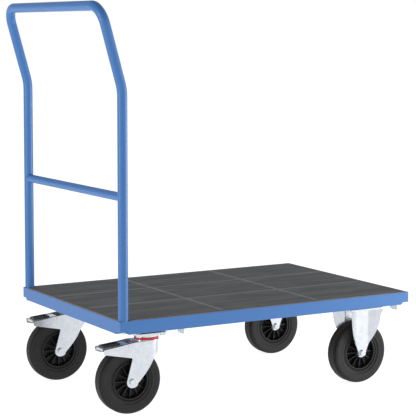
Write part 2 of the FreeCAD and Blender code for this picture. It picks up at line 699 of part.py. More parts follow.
def save_swivel_castors():
    fork = swivel_fork()
    plate = swivel_plate()
    seal = swivel_seal()
    pedal = brake_pedal()
    pad = brake_pad(pedal)
    block = brake_block(pedal)
    bolt, nut, sleeve = axle_set(SWIVEL_CHEEK_OUT)
    balls = []
    for side in SIDES:
        offset = Vector(SWIVEL_X, SIDES[side] * (RIGHT + SWIVEL_FROM_SIDE), 0)
        for name, shape in (("swivel_plate_", plate), ("swivel_seal_", seal)):
            body = shape.copy()
            body.translate(offset)
            save(name + side, body)
        for name, shape in (("swivel_fork_", fork), ("brake_pin_", brake_pin()),
                            ("brake_pedal_", pedal), ("brake_pad_", pad),
                            ("brake_block_", block)):
            save(name + side, placed_castor(shape, side))
        for name, shape in (("axle_bolt_", bolt), ("axle_nut_", nut), ("axle_sleeve_", sleeve)):
            save(name + side, placed_wheel(shape, "swivel", side))
        balls += [placed_castor(ball, side) for ball in swivel_balls()]
    save("kingpins", [placed_castor(kingpin(), side) for side in SIDES])
    save("kingpin_nuts", [placed_castor(kingpin_nut(), side) for side in SIDES])
    save("swivel_balls", balls)


def save_wheels():
    pieces = {"tyre": tyre(), "wheel_centre": wheel_centre(), "roller_bearing": roller_bearing()}
    for place in ("swivel", "fixed"):
        for side in SIDES:
            for name, shape in pieces.items():
                save(name + "_" + place + "_" + side, placed_wheel(shape, place, side))


save_platform()
save_push_bow()
save_castor_fixings()
save_fixed_castors()
save_swivel_castors()
save_wheels()
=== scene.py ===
"""Platform cart with a push bow and four castors: its visible pieces, finishes, studio and camera.

Pieces are built in millimetres and become metres when they are finished. +X is the way the cart is
pushed, +Y its left and +Z up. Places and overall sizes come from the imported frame; section, sheet and
edge sizes are fields of the classes that use them. CAD nodes that no piece replaces keep their meshes
and get the finish of their material slot.
"""

import json
import logging
import math
from collections.abc import Callable, Iterable, Sequence
from dataclasses import dataclass
from enum import Enum

import bmesh
import bpy
from mathutils import Matrix, Vector

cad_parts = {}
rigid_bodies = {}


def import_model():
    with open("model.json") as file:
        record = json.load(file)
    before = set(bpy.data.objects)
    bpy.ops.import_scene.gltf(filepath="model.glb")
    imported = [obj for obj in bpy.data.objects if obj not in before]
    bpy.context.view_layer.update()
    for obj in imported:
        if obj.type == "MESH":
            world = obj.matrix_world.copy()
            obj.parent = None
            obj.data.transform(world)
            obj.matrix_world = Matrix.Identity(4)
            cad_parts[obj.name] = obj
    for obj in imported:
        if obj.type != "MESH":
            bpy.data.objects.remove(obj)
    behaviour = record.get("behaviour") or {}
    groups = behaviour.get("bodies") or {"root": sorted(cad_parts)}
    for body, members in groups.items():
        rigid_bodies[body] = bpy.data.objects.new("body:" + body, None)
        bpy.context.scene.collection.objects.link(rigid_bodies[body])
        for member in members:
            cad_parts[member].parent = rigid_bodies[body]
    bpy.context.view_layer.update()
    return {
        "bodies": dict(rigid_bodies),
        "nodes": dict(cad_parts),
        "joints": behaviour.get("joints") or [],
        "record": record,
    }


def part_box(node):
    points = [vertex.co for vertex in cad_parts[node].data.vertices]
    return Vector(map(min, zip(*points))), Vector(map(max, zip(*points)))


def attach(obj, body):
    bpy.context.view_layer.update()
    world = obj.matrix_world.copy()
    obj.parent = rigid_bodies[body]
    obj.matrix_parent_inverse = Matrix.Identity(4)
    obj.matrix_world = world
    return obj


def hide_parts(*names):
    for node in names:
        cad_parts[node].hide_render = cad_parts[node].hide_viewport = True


Corner = tuple[float, ...]
Colour = tuple[float, float, float]
Triple = tuple[float, float, float]
Wanted = Callable[[Vector], bool]

MILLIMETRE = 0.001
SMALLEST_GAP = 0.001  # millimetres; points closer than this are one point
NEAR = 1.0  # millimetres; an edge whose middle is this close to a place counts as there
CLOSE = 0.1  # millimetres; the same where another edge is near
LEVEL = 0.9  # a face whose normal rises more than this faces up
SHARP = 50.0  # degrees; least angle of an edge between faces that meet at a clear corner
SQUARE = 60.0  # degrees; least angle that leaves out the steps of a rounding
TOP_BODY = "chassis"
LOG = logging.getLogger("platform_cart")


class Side(Enum):
    """Which side of the cart a piece is on, with the sign of its Y."""

    RIGHT = -1
    LEFT = 1

    @property
    def word(self) -> str:
        """The side's word in node and body names."""
        return self.name.lower()


class Axis(Enum):
    """The three directions of the frame."""

    X = Vector((1, 0, 0))
    Y = Vector((0, 1, 0))
    Z = Vector((0, 0, 1))


def shift(x: float, y: float, z: float) -> Matrix:
    """The matrix that moves by these millimetres."""
    return Matrix.Translation((x, y, z))


def turn(degrees: float, axis: Axis) -> Matrix:
    """The matrix that turns by these degrees about an axis through the origin."""
    return Matrix.Rotation(math.radians(degrees), 4, axis.value)


def flip(axis: Axis) -> Matrix:
    """The matrix that mirrors along an axis."""
    return Matrix.Scale(-1, 4, axis.value)


# ---------------------------------------------------------------- shader maths


class Value:
    """A number that varies over a surface; arithmetic on it adds Math nodes."""

    def __init__(self, graph: "Graph", socket: bpy.types.NodeSocket) -> None:
        """Wrap an output socket of a graph."""
        self.graph = graph
        self.socket = socket

    def _math(self, operation: str, *terms: "Value | float") -> "Value":
        """Add one Math node on these terms."""
        node = self.graph.node("ShaderNodeMath", {"operation": operation}, dict(enumerate(terms)))
        return Value(self.graph, node.outputs[0])

    def __add__(self, other: "Value | float") -> "Value":
        """Add."""
        return self._math("ADD", self, other)

    __radd__ = __add__

    def __sub__(self, other: "Value | float") -> "Value":
        """Subtract."""
        return self._math("SUBTRACT", self, other)

    def __rsub__(self, other: float) -> "Value":
        """Subtract from a number."""
        return self._math("SUBTRACT", other, self)

    def __mul__(self, other: "Value | float") -> "Value":
        """Multiply."""
        return self._math("MULTIPLY", self, other)

    __rmul__ = __mul__

    def folded(self, width: float) -> "Value":
        """Go up to 1 and back to 0 over each two widths."""
        return self._math("PINGPONG", self, width) * (1 / width)

    def between(self, low: float, high: float) -> "Value":
        """Rise smoothly from 0 to 1.

        Args:
            low: The value up to which the result is 0.
            high: The value from which the result is 1.

        Returns:
            The risen value.
        """
        node = self.graph.node("ShaderNodeMapRange", {"interpolation_type": "SMOOTHSTEP"},
                               {"Value": self, "From Min": low, "From Max": high})
        return Value(self.graph, node.outputs[0])


@dataclass(frozen=True)
class Noise:
    """A layer of soft noise: its waves per metre, finer octaves, their strength and each axis's scale."""

    scale: float
    detail: float = 2.0
    rough: float = 0.5
    stretch: Triple = (1, 1, 1)


class Graph:
    """A node tree with one set of coordinates."""

    def __init__(self, tree: bpy.types.NodeTree, coordinates: str = "Object") -> None:
        """Clear a node tree for use.

        Args:
            tree: The tree of a material or of the world.
            coordinates: Which output of Texture Coordinate its patterns read.
        """
        self.tree = tree
        tree.nodes.clear()
        self.places = self.node("ShaderNodeTexCoord").outputs[coordinates]

    def node(self, kind: str, settings: dict | None = None,
             sockets: dict | None = None) -> bpy.types.Node:
        """Add a node.

        Args:
            kind: The node's type.
            settings: Its properties, set before its sockets.
            sockets: Numbers, colours or links by socket name or number.

        Returns:
            The new node.
        """
        made = self.tree.nodes.new(kind)
        for name, setting in (settings or {}).items():
            setattr(made, name, setting)
        for name, value in (sockets or {}).items():
            self.feed(made.inputs[name], value)
        return made

    def feed(self, socket: bpy.types.NodeSocket,
             value: "Value | bpy.types.NodeSocket | float | Triple") -> None:
        """Link a value to a socket, or set it there.

        Args:
            socket: An input socket.
            value: A link, number, colour or vector.
        """
        source = value.socket if isinstance(value, Value) else value
        if isinstance(source, bpy.types.NodeSocket):
            self.tree.links.new(source, socket)
        elif socket.type == "RGBA":
            socket.default_value = (*source, 1.0)
        else:
            socket.default_value = source

    def noise(self, layer: Noise) -> Value:
        """Add a layer of noise.

        Args:
            layer: What it is like.

        Returns:
            The noise, about 0 to 1.
        """
        mapping = self.node("ShaderNodeMapping", {}, {"Vector": self.places, "Scale": layer.stretch})
        node = self.node("ShaderNodeTexNoise", {}, {
            "Vector": mapping.outputs[0], "Scale": layer.scale, "Detail": layer.detail,
            "Roughness": layer.rough})
        return Value(self, node.outputs[0])

    def cells(self, scale: float) -> Value:
        """Distance to the middle of irregular cells, with scale cells per metre."""
        node = self.node("ShaderNodeTexVoronoi", {}, {"Vector": self.places, "Scale": scale})
        return Value(self, node.outputs["Distance"])

    def height(self) -> Value:
        """The Z of a point or direction."""
        return Value(self, self.node("ShaderNodeSeparateXYZ", {}, {0: self.places}).outputs["Z"])

    def towards(self, direction: Triple) -> Value:
        """Measure how far a point or direction lies along a direction.

        Args:
            direction: Of length 1.

        Returns:
            The length along it.
        """
        sockets = {0: self.places, 1: direction}
        node = self.node("ShaderNodeVectorMath", {"operation": "DOT_PRODUCT"}, sockets)
        return Value(self, node.outputs["Value"])

    def blend(self, share: Value, low: "Colour | bpy.types.NodeSocket",
              high: "Colour | bpy.types.NodeSocket") -> bpy.types.NodeSocket:
        """Mix two colours.

        Args:
            share: 0 for low, 1 for high.
            low: The first colour or colour link.
            high: The second colour or colour link.

        Returns:
            The mixed colour.
        """
        node = self.node("ShaderNodeMix", {"data_type": "RGBA"})
        wanted = {"Factor_Float": share, "A_Color": low, "B_Color": high}
        for socket in node.inputs:
            if socket.identifier in wanted:
                self.feed(socket, wanted[socket.identifier])
        return next(socket for socket in node.outputs if socket.identifier == "Result_Color")

    def surface(self, colour: bpy.types.NodeSocket, roughness: Value, relief: Value, depth: float,
                constants: dict[str, float] | None = None) -> None:
        """Join the values to a surface shader.

        Args:
            colour: Base colour.
            roughness: Roughness over the surface.
            relief: Height of the surface's fine relief, 0 to 1.
            depth: How deep the relief is, in millimetres.
            constants: Values of other shader sockets, the same all over.
        """
        bump = self.node("ShaderNodeBump", {}, {
            "Height": relief, "Strength": 1.0, "Distance": depth * MILLIMETRE})
        sockets = {"Base Color": colour, "Roughness": roughness, "Normal": bump.outputs[0]}
        shader = self.node("ShaderNodeBsdfPrincipled", {}, {**sockets, **(constants or {})})
        self.node("ShaderNodeOutputMaterial", {}, {"Surface": shader.outputs[0]})


# ---------------------------------------------------------------- finishes


@dataclass(frozen=True)
class Finish:
    """A finish: its name, record slot, main colour and gloss. Each kind of finish says how it is drawn."""

    name: str
    slot: str
    colour: Colour
    roughness: float

    def made(self) -> bpy.types.Material:
        """Make the finish's material.

        Returns:
            The material, with its nodes drawn.
        """
        material = bpy.data.materials.new(self.name)
        material.use_nodes = True
        self.draw(Graph(material.node_tree))
        return material

    def draw(self, graph: Graph) -> None:
        """Draw the finish, which each kind does in its own way.

        Args:
            graph: The material's nodes.
        """
        raise NotImplementedError(self.name)

    def darker(self, share: float) -> Colour:
        """The main colour scaled by a share."""
        return tuple(channel * share for channel in self.colour)


@dataclass(frozen=True)
class PowderCoat(Finish):
    """Powder coat on steel: orange peel, faint pigment drift, dark specks and handling scuffs."""

    worn: Colour = (0.22, 0.38, 0.62)
    shine: float = 0.3
    gloss: float = 0.25
    gloss_blur: float = 0.22
    relief: float = 0.04
    drift: Noise = Noise(4.0, 3.0, 0.55)
    peel: Noise = Noise(300.0, 1.0, 0.4)
    speck: Noise = Noise(1500.0, 1.0)
    scratch: Noise = Noise(16.0, 4.0, 0.7, (1.0, 9.0, 2.5))

    def draw(self, graph: Graph) -> None:
        """Draw the powder coat.

        Args:
            graph: The material's nodes.
        """
        drift = graph.noise(self.drift)
        peel = graph.noise(self.peel)
        speck = graph.noise(self.speck)
        scratch = graph.noise(self.scratch).between(0.66, 0.74)
        colour = graph.blend(drift, self.darker(0.88), self.colour)
        colour = graph.blend(speck.between(0.62, 0.8) * 0.15, colour, self.darker(0.6))
        colour = graph.blend(scratch * 0.2, colour, self.worn)
        roughness = self.roughness + 0.08 * drift + 0.12 * scratch
        graph.surface(colour, roughness, peel * 0.8 + speck * 0.2, self.relief, {
            "Specular IOR Level": self.shine, "Coat Weight": self.gloss,
            "Coat Roughness": self.gloss_blur})


@dataclass(frozen=True)
class BrightZinc(Finish):
    """Blue-passivated zinc on pressed steel: rolled grain, soft mottling and rubbed patches."""

    shade: Colour = (0.56, 0.59, 0.64)
    metal: float = 0.75
    relief: float = 0.01
    mottle: Noise = Noise(60.0, 4.0, 0.62)
    rolled: Noise = Noise(140.0, 3.0, 0.6, (1.0, 1.0, 14.0))
    spangles: float = 330.0

    def draw(self, graph: Graph) -> None:
        """Draw the zinc.

        Args:
            graph: The material's nodes.
        """
        mottle = graph.noise(self.mottle)
        rolled = graph.noise(self.rolled)
        spangle = graph.cells(self.spangles)
        share = mottle.between(0.3, 0.7) * 0.7 + rolled * 0.3
        colour = graph.blend(share, self.shade, self.colour)
        roughness = self.roughness + 0.12 * mottle - 0.04 * spangle
        height = rolled * 0.5 + spangle * 0.3 + mottle * 0.2
        graph.surface(colour, roughness, height, self.relief, {"Metallic": self.metal})


@dataclass(frozen=True)
class Rubber(Finish):
    """Moulded rubber with a faint bloom, scuffs and fine pores."""

    pale: Colour = (0.028, 0.028, 0.028)
    shine: float = 0.3
    relief: float = 0.06
    bloom: Noise = Noise(28.0, 4.0, 0.65)
    pores: Noise = Noise(1100.0, 2.0, 0.6)
    scuff: Noise = Noise(90.0, 3.0, 0.7)

    def draw(self, graph: Graph) -> None:
        """Draw the rubber.

        Args:
            graph: The material's nodes.
        """
        bloom = graph.noise(self.bloom)
        pores = graph.noise(self.pores)
        scuff = graph.noise(self.scuff).between(0.58, 0.75)
        colour = graph.blend(bloom.between(0.45, 0.85) * 0.5, self.colour, self.pale)
        colour = graph.blend(scuff * 0.25, colour, self.pale)
        roughness = self.roughness + 0.12 * bloom + 0.06 * scuff
        height = pores * 0.7 + scuff * 0.3
        graph.surface(colour, roughness, height, self.relief, {"Specular IOR Level": self.shine})


@dataclass(frozen=True)
class MouldedPlastic(Finish):
    """Injection-moulded plastic with spark-eroded grain and faint flow marks."""

    shine: float = 0.3
    relief: float = 0.04
    flow: Noise = Noise(38.0, 3.0, 0.6, (1.0, 1.0, 2.2))
    grain: Noise = Noise(1300.0, 1.0)

    def draw(self, graph: Graph) -> None:
        """Draw the plastic.

        Args:
            graph: The material's nodes.
        """
        flow = graph.noise(self.flow)
        grain = graph.noise(self.grain)
        colour = graph.blend(flow, self.darker(0.75), self.colour)
        roughness = self.roughness + 0.14 * flow
        graph.surface(colour, roughness, grain, self.relief, {"Specular IOR Level": self.shine})


@dataclass(frozen=True)
class FilmDeck(Finish):
    """Slip-resistant deck film: lengthwise streaks, a fibrous grain and light wheel traffic."""

    light: Colour = (0.135, 0.137, 0.139)
    relief: float = 0.1
    streak: Noise = Noise(60.0, 5.0, 0.7, (0.16, 2.2, 1.0))
    fibre: Noise = Noise(420.0, 3.0, 0.7, (0.3, 1.6, 1.0))
    cloud: Noise = Noise(13.0, 4.0, 0.62, (0.35, 1.5, 1.0))
    traffic: Noise = Noise(9.0, 4.0, 0.7, (0.4, 3.0, 1.0))

    def draw(self, graph: Graph) -> None:
        """Draw the deck film.

        Args:
            graph: The material's nodes.
        """
        streak = graph.noise(self.streak)
        fibre = graph.noise(self.fibre)
        cloud = graph.noise(self.cloud).between(0.34, 0.66)
        traffic = graph.noise(self.traffic).between(0.6, 0.8)
        share = streak * 0.45 + fibre * 0.3 + cloud * 0.25
        colour = graph.blend(share.between(0.28, 0.72), self.colour, self.light)
        colour = graph.blend(traffic * 0.2, colour, self.darker(1.7))
        roughness = self.roughness + 0.18 * streak - 0.06 * traffic
        graph.surface(colour, roughness, streak * 0.4 + fibre * 0.6, self.relief)


@dataclass(frozen=True)
class Plywood(Finish):
    """Plywood: grain along X on its faces and the plies' edges in section."""

    ply: float = 1.45
    relief: float = 0.15
    grain: Noise = Noise(120.0, 4.0, 0.65, (0.06, 1.0, 1.0))
    figure: Noise = Noise(14.0, 3.0, 0.6, (0.15, 1.0, 1.0))

    def draw(self, graph: Graph) -> None:
        """Draw the plywood.

        Args:
            graph: The material's nodes.
        """
        grain = graph.noise(self.grain)
        figure = graph.noise(self.figure)
        layer = graph.height().folded(self.ply * MILLIMETRE).between(0.45, 0.55)
        colour = graph.blend(grain * 0.6 + figure * 0.4, self.darker(0.6), self.colour)
        colour = graph.blend(layer * 0.3, colour, self.darker(0.5))
        graph.surface(colour, self.roughness + 0.1 * grain, grain, self.relief)


@dataclass(frozen=True)
class MachinedSteel(Finish):
    """Plated fasteners and pins: turning marks and slightly dulled flats."""

    relief: float = 0.015
    dull: Noise = Noise(160.0, 3.0, 0.6)
    marks: Noise = Noise(900.0, 2.0, 0.5, (1.0, 1.0, 4.0))

    def draw(self, graph: Graph) -> None:
        """Draw the steel.

        Args:
            graph: The material's nodes.
        """
        dull = graph.noise(self.dull)
        marks = graph.noise(self.marks)
        colour = graph.blend(dull, self.darker(0.72), self.colour)
        graph.surface(colour, self.roughness + 0.18 * dull, marks, self.relief, {"Metallic": 1.0})


FINISHES = (
    PowderCoat("powder_coat_blue", "blue_paint", (0.043, 0.164, 0.435), 0.42),
    Plywood("birch_plywood", "board", (0.46, 0.32, 0.18), 0.62),
    FilmDeck("deck_film", "deck_mat", (0.052, 0.053, 0.055), 0.6, (0.107, 0.108, 0.110)),
    FilmDeck("deck_strip", "deck_line", (0.150, 0.152, 0.154), 0.58, (0.205, 0.207, 0.21)),
    Rubber("tyre_rubber", "tyre_rubber", (0.012, 0.012, 0.0125), 0.58),
    MouldedPlastic("wheel_plastic", "black_plastic", (0.010, 0.010, 0.011), 0.4),
    MouldedPlastic("seal_plastic", "red_seal", (0.62, 0.022, 0.020), 0.36),
    Rubber("tread_rubber", "pedal_rubber", (0.016, 0.016, 0.017), 0.36, (0.05, 0.05, 0.052), 0.6),
    MachinedSteel("plated_steel", "bright_steel", (0.70, 0.71, 0.74), 0.24),
    BrightZinc("bright_zinc", "zinc", (0.67, 0.695, 0.735), 0.16),
)


class Palette:
    """Every finish's material, by the record's slot."""

    def __init__(self) -> None:
        """Make all materials once."""
        self.by_slot = {finish.slot: finish.made() for finish in FINISHES}

    def dress(self, piece: bpy.types.Object, slot: str) -> None:
        """Give a piece one finish."""
        piece.data.materials.clear()
        piece.data.materials.append(self.by_slot[slot])

    def dress_node(self, node: bpy.types.Object) -> None:
        """Give a CAD node the finish that its record slot names, keeping its mesh."""
        for entry in node.material_slots:
            entry.material = self.by_slot[entry.material.name.split(".")[0]]


# ---------------------------------------------------------------- frame and mesh helpers


@dataclass(frozen=True)
class Extent:
    """A node's box at rest, in millimetres."""

    low: Vector
    high: Vector

    @classmethod
    def of(cls, node: str) -> "Extent":
        """Read a node's box from the frame."""
        low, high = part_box(node)
        return cls(low / MILLIMETRE, high / MILLIMETRE)

    @property
    def middle(self) -> Vector:
        """The middle of the box."""
        return (self.low + self.high) / 2

    @property
    def size(self) -> Vector:
        """The sides of the box."""
        return self.high - self.low


@dataclass(frozen=True)
class PlanCurve:
    """The plan of a bent sheet: from its middle, runs of a length and a turn, the same both ways."""

    start: Vector
    heading: Vector
    side: Vector
    runs: tuple[tuple[float, float], ...]

    def bent(self, flat: Vector) -> Vector:
        """Move a point of the flat blank onto the bent sheet.

        Args:
            flat: The point, with its distance from the middle as X and its height as Z.

        Returns:
            Its place on the bent sheet.
        """
        rest, angle = abs(flat.x), 0.0
        along = across = 0.0
        for length, turned in self.runs:
            step = min(rest, length)
            rest -= step
            if turned:
                radius = length / turned
                end = angle + turned * step / length
                along += radius * (math.sin(end) - math.sin(angle))
                across += radius * (math.cos(angle) - math.cos(end))
                angle = end
            else:
                along += step * math.cos(angle)
                across += step * math.sin(angle)
        place = self.start + self.heading * math.copysign(along, flat.x) + self.side * across
        return Vector((place.x, place.y, flat.z))

    def stations(self, steps: int) -> list[float]:
        """Find where the blank is cut so that its bends are round.

        Args:
            steps: How many pieces each bend is cut into.

        Returns:
            Distances from the middle.
        """
        found, reached = [], 0.0
        for length, turned in self.runs:
            if turned:
                found += [reached + length * step / steps for step in range(steps + 1)]
            reached += length
        return found


class Shape:
    """A mesh in the making, in millimetres."""

    def __init__(self) -> None:
        """Start empty."""
        self.mesh = bmesh.new()

    def outline(self, corners: Sequence[Corner], steps: int = 5) -> "Shape":
        """Draw a flat outline in the XZ plane.

        Args:
            corners: (x, z) or (x, z, reach); reach is how far before a corner its rounding starts.
            steps: How many edges each rounding has.

        Returns:
            This shape.
        """
        verts = [self.mesh.verts.new((corner[0], 0, corner[1])) for corner in corners]
        self.mesh.faces.new(verts)
        for vert, corner in zip(verts, corners):
            if len(corner) > 2:
                bmesh.ops.bevel(self.mesh, geom=[vert], offset=corner[2], offset_type="OFFSET",
                                segments=steps, profile=0.5, affect="VERTICES", material=-1)
        return self

    def pull(self, by: Vector, faces: Iterable[bmesh.types.BMFace] | None = None) -> "Shape":
        """Extrude faces, or all faces, along a vector.

        Args:
            by: How far the faces move.
            faces: Which faces; all of them if left out.

        Returns:
            This shape.
        """
        region = list(faces) if faces is not None else list(self.mesh.faces)
        made = bmesh.ops.extrude_face_region(self.mesh, geom=region)["geom"]
        moved = [item for item in made if isinstance(item, bmesh.types.BMVert)]
        bmesh.ops.translate(self.mesh, verts=moved, vec=by)
        if faces is not None:
            bmesh.ops.delete(self.mesh, geom=region, context="FACES")
        self.tidy()
        return self

    def slab(self, corners: Sequence[Corner], low: float, high: float, steps: int = 6) -> "Shape":
        """Make a level slab.

        Args:
            corners: (x, y) or (x, y, reach) of its plan, as for an outline.
            low: Height of its underside.
            high: Height of its top.
            steps: How many edges each rounding has.

        Returns:
            This shape.
        """
        self.outline([(corner[0], -corner[1], *corner[2:]) for corner in corners], steps)
        self.pull(Axis.Y.value * (high - low))
        return self.move(shift(0, 0, low) @ turn(90, Axis.X))

    def move(self, place: Matrix) -> "Shape":
        """Move the whole shape by a matrix.

        Args:
            place: The matrix; a mirror leaves the faces outwards.

        Returns:
            This shape.
        """
        bmesh.ops.transform(self.mesh, matrix=place, verts=self.mesh.verts)
        if place.determinant() < 0:
            bmesh.ops.reverse_faces(self.mesh, faces=self.mesh.faces)
        return self

    def cut(self, place: Vector, across: Vector, drop: bool = False) -> None:
        """Cut the mesh with a plane.

        Args:
            place: A point of the plane.
            across: The plane's normal.
            drop: Whether what lies past the plane goes and the cut is closed.
        """
        geom = [*self.mesh.verts, *self.mesh.edges, *self.mesh.faces]
        done = bmesh.ops.bisect_plane(self.mesh, geom=geom, dist=SMALLEST_GAP, plane_co=place,
                                      plane_no=across, clear_outer=drop)
        if drop:
            edges = [item for item in done["geom_cut"] if isinstance(item, bmesh.types.BMEdge)]
            bmesh.ops.holes_fill(self.mesh, edges=edges, sides=0)

    def bend(self, curve: PlanCurve, steps: int = 6) -> "Shape":
        """Bend the flat outline along a plan curve.

        Args:
            curve: The plan.
            steps: How many cuts each of its bends gets.

        Returns:
            This shape.
        """
        for station in curve.stations(steps):
            for sign in (1, -1):
                self.cut(Axis.X.value * sign * station, Axis.X.value)
        for vert in self.mesh.verts:
            vert.co = curve.bent(vert.co)
        return self

    def thicken(self, thickness: float) -> "Shape":
        """Give the sheet its thickness, half to each side.

        Args:
            thickness: Of the sheet.

        Returns:
            This shape.
        """
        bmesh.ops.recalc_face_normals(self.mesh, faces=self.mesh.faces)
        self.mesh.normal_update()
        for vert in self.mesh.verts:
            vert.co -= vert.normal * thickness / 2
        bmesh.ops.solidify(self.mesh, geom=self.mesh.faces, thickness=-thickness)
        self.tidy()
        return self

    def round_edges(self, width: float, steps: int = 2, least: float = 30.0,
                    wanted: Wanted | None = None) -> "Shape":
        """Bevel sharp edges.

        Args:
            width: Width of the bevel.
            steps: How many faces it has across.
            least: The smallest angle between faces, in degrees, that counts as sharp.
            wanted: Tells from an edge's middle whether it is bevelled.

        Returns:
            This shape.
        """
        sharp = [
            edge for edge in self.mesh.edges
            if edge.is_manifold and edge.calc_face_angle(0.0) > math.radians(least)
            and (wanted is None or wanted((edge.verts[0].co + edge.verts[1].co) / 2))]
        bmesh.ops.bevel(self.mesh, geom=sharp, offset=width, offset_type="OFFSET", segments=steps,
                        profile=0.5, affect="EDGES", material=-1, clamp_overlap=True)
        return self

    def spin(self, profile: Sequence[Corner], steps: int) -> "Shape":
        """Turn a closed profile round the Y axis.

        Args:
            profile: (radius, y) or (radius, y, reach) points.
            steps: How many steps the full turn has.

        Returns:
            This shape.
        """
        verts = [self.mesh.verts.new((point[0], point[1], 0)) for point in profile]
        for one, other in zip(verts, verts[1:] + verts[:1]):
            self.mesh.edges.new((one, other))
        for vert, point in zip(verts, profile):
            if len(point) > 2:
                bmesh.ops.bevel(self.mesh, geom=[vert], offset=point[2], offset_type="OFFSET",
                                segments=2, profile=0.5, affect="VERTICES", material=-1)
        flat = [item for item in (*self.mesh.verts, *self.mesh.edges) if not item.link_faces]
        bmesh.ops.spin(self.mesh, geom=flat, cent=(0, 0, 0), axis=Axis.Y.value, angle=math.tau,
                       steps=steps, use_merge=True, use_duplicate=False)
        self.tidy()
        return self

    def bar(self, low: Vector, high: Vector) -> "Shape":
        """Add a block.

        Args:
            low: Its lowest corner.
            high: Its highest corner.

        Returns:
            This shape.
        """
        place = Matrix.Translation((low + high) / 2) @ Matrix.Diagonal((*(high - low), 1.0))
        bmesh.ops.create_cube(self.mesh, size=1.0, matrix=place)
        return self

    def join(self, other: "Shape", place: Matrix | None = None) -> "Shape":
        """Add a copy of another shape.

        Args:
            other: The shape, which stays as it is.
            place: Where the copy goes; a mirror leaves its faces outwards.

        Returns:
            This shape.
        """
        copy = Shape()
        copy.mesh = other.mesh.copy()
        held = bpy.data.meshes.new("held")
        copy.move(place or Matrix()).mesh.to_mesh(held)
        self.mesh.from_mesh(held)
        copy.mesh.free()
        bpy.data.meshes.remove(held)
        return self

    def placed(self, place: Matrix) -> "Shape":
        """A copy moved by a matrix."""
        return Shape().join(self, place)

    def tidy(self) -> None:
        """Merge doubles and point the faces outwards."""
        bmesh.ops.remove_doubles(self.mesh, verts=self.mesh.verts, dist=SMALLEST_GAP)
        bmesh.ops.recalc_face_normals(self.mesh, faces=self.mesh.faces)


def both_sides(half: list[Corner]) -> list[Corner]:
    """Complete an outline from the half on the positive side of its second axis."""
    return half + [(corner[0], -corner[1], *corner[2:]) for corner in reversed(half)]


def mirrored_outline(half: list[Corner]) -> list[Corner]:
    """Complete an outline from its half with x >= 0."""
    return half + [(-corner[0], *corner[1:]) for corner in reversed(half) if corner[0] > SMALLEST_GAP]


@dataclass
class Maker:
    """Turns shapes into pieces and ties them to the frame."""

    palette: Palette
    smooth_under: float = 35.0

    def piece(self, name: str, shape: Shape, body: str, slot: str,
              replaces: Sequence[str]) -> bpy.types.Object:
        """Finish a shape as a piece of the object.

        Args:
            name: The piece's name.
            shape: Its mesh, in millimetres.
            body: The CAD body it rides on.
            slot: The record's material slot.
            replaces: The CAD nodes it stands for.

        Returns:
            The piece's object.
        """
        shape.move(Matrix.Scale(MILLIMETRE, 4))
        data = bpy.data.meshes.new(name)
        shape.mesh.to_mesh(data)
        shape.mesh.free()
        data.polygons.foreach_set("use_smooth", [True] * len(data.polygons))
        data.set_sharp_from_angle(angle=math.radians(self.smooth_under))
        thing = bpy.data.objects.new(name, data)
        bpy.context.scene.collection.objects.link(thing)
        even = thing.modifiers.new("even_shading", "WEIGHTED_NORMAL")
        even.keep_sharp = True
        self.palette.dress(thing, slot)
        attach(thing, body)
        if replaces:
            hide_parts(*replaces)
        triangles = sum(len(face.vertices) - 2 for face in data.polygons)
        LOG.info("%s rides on %s, %d triangles", name, body, triangles)
        return thing


# ---------------------------------------------------------------- platform frame


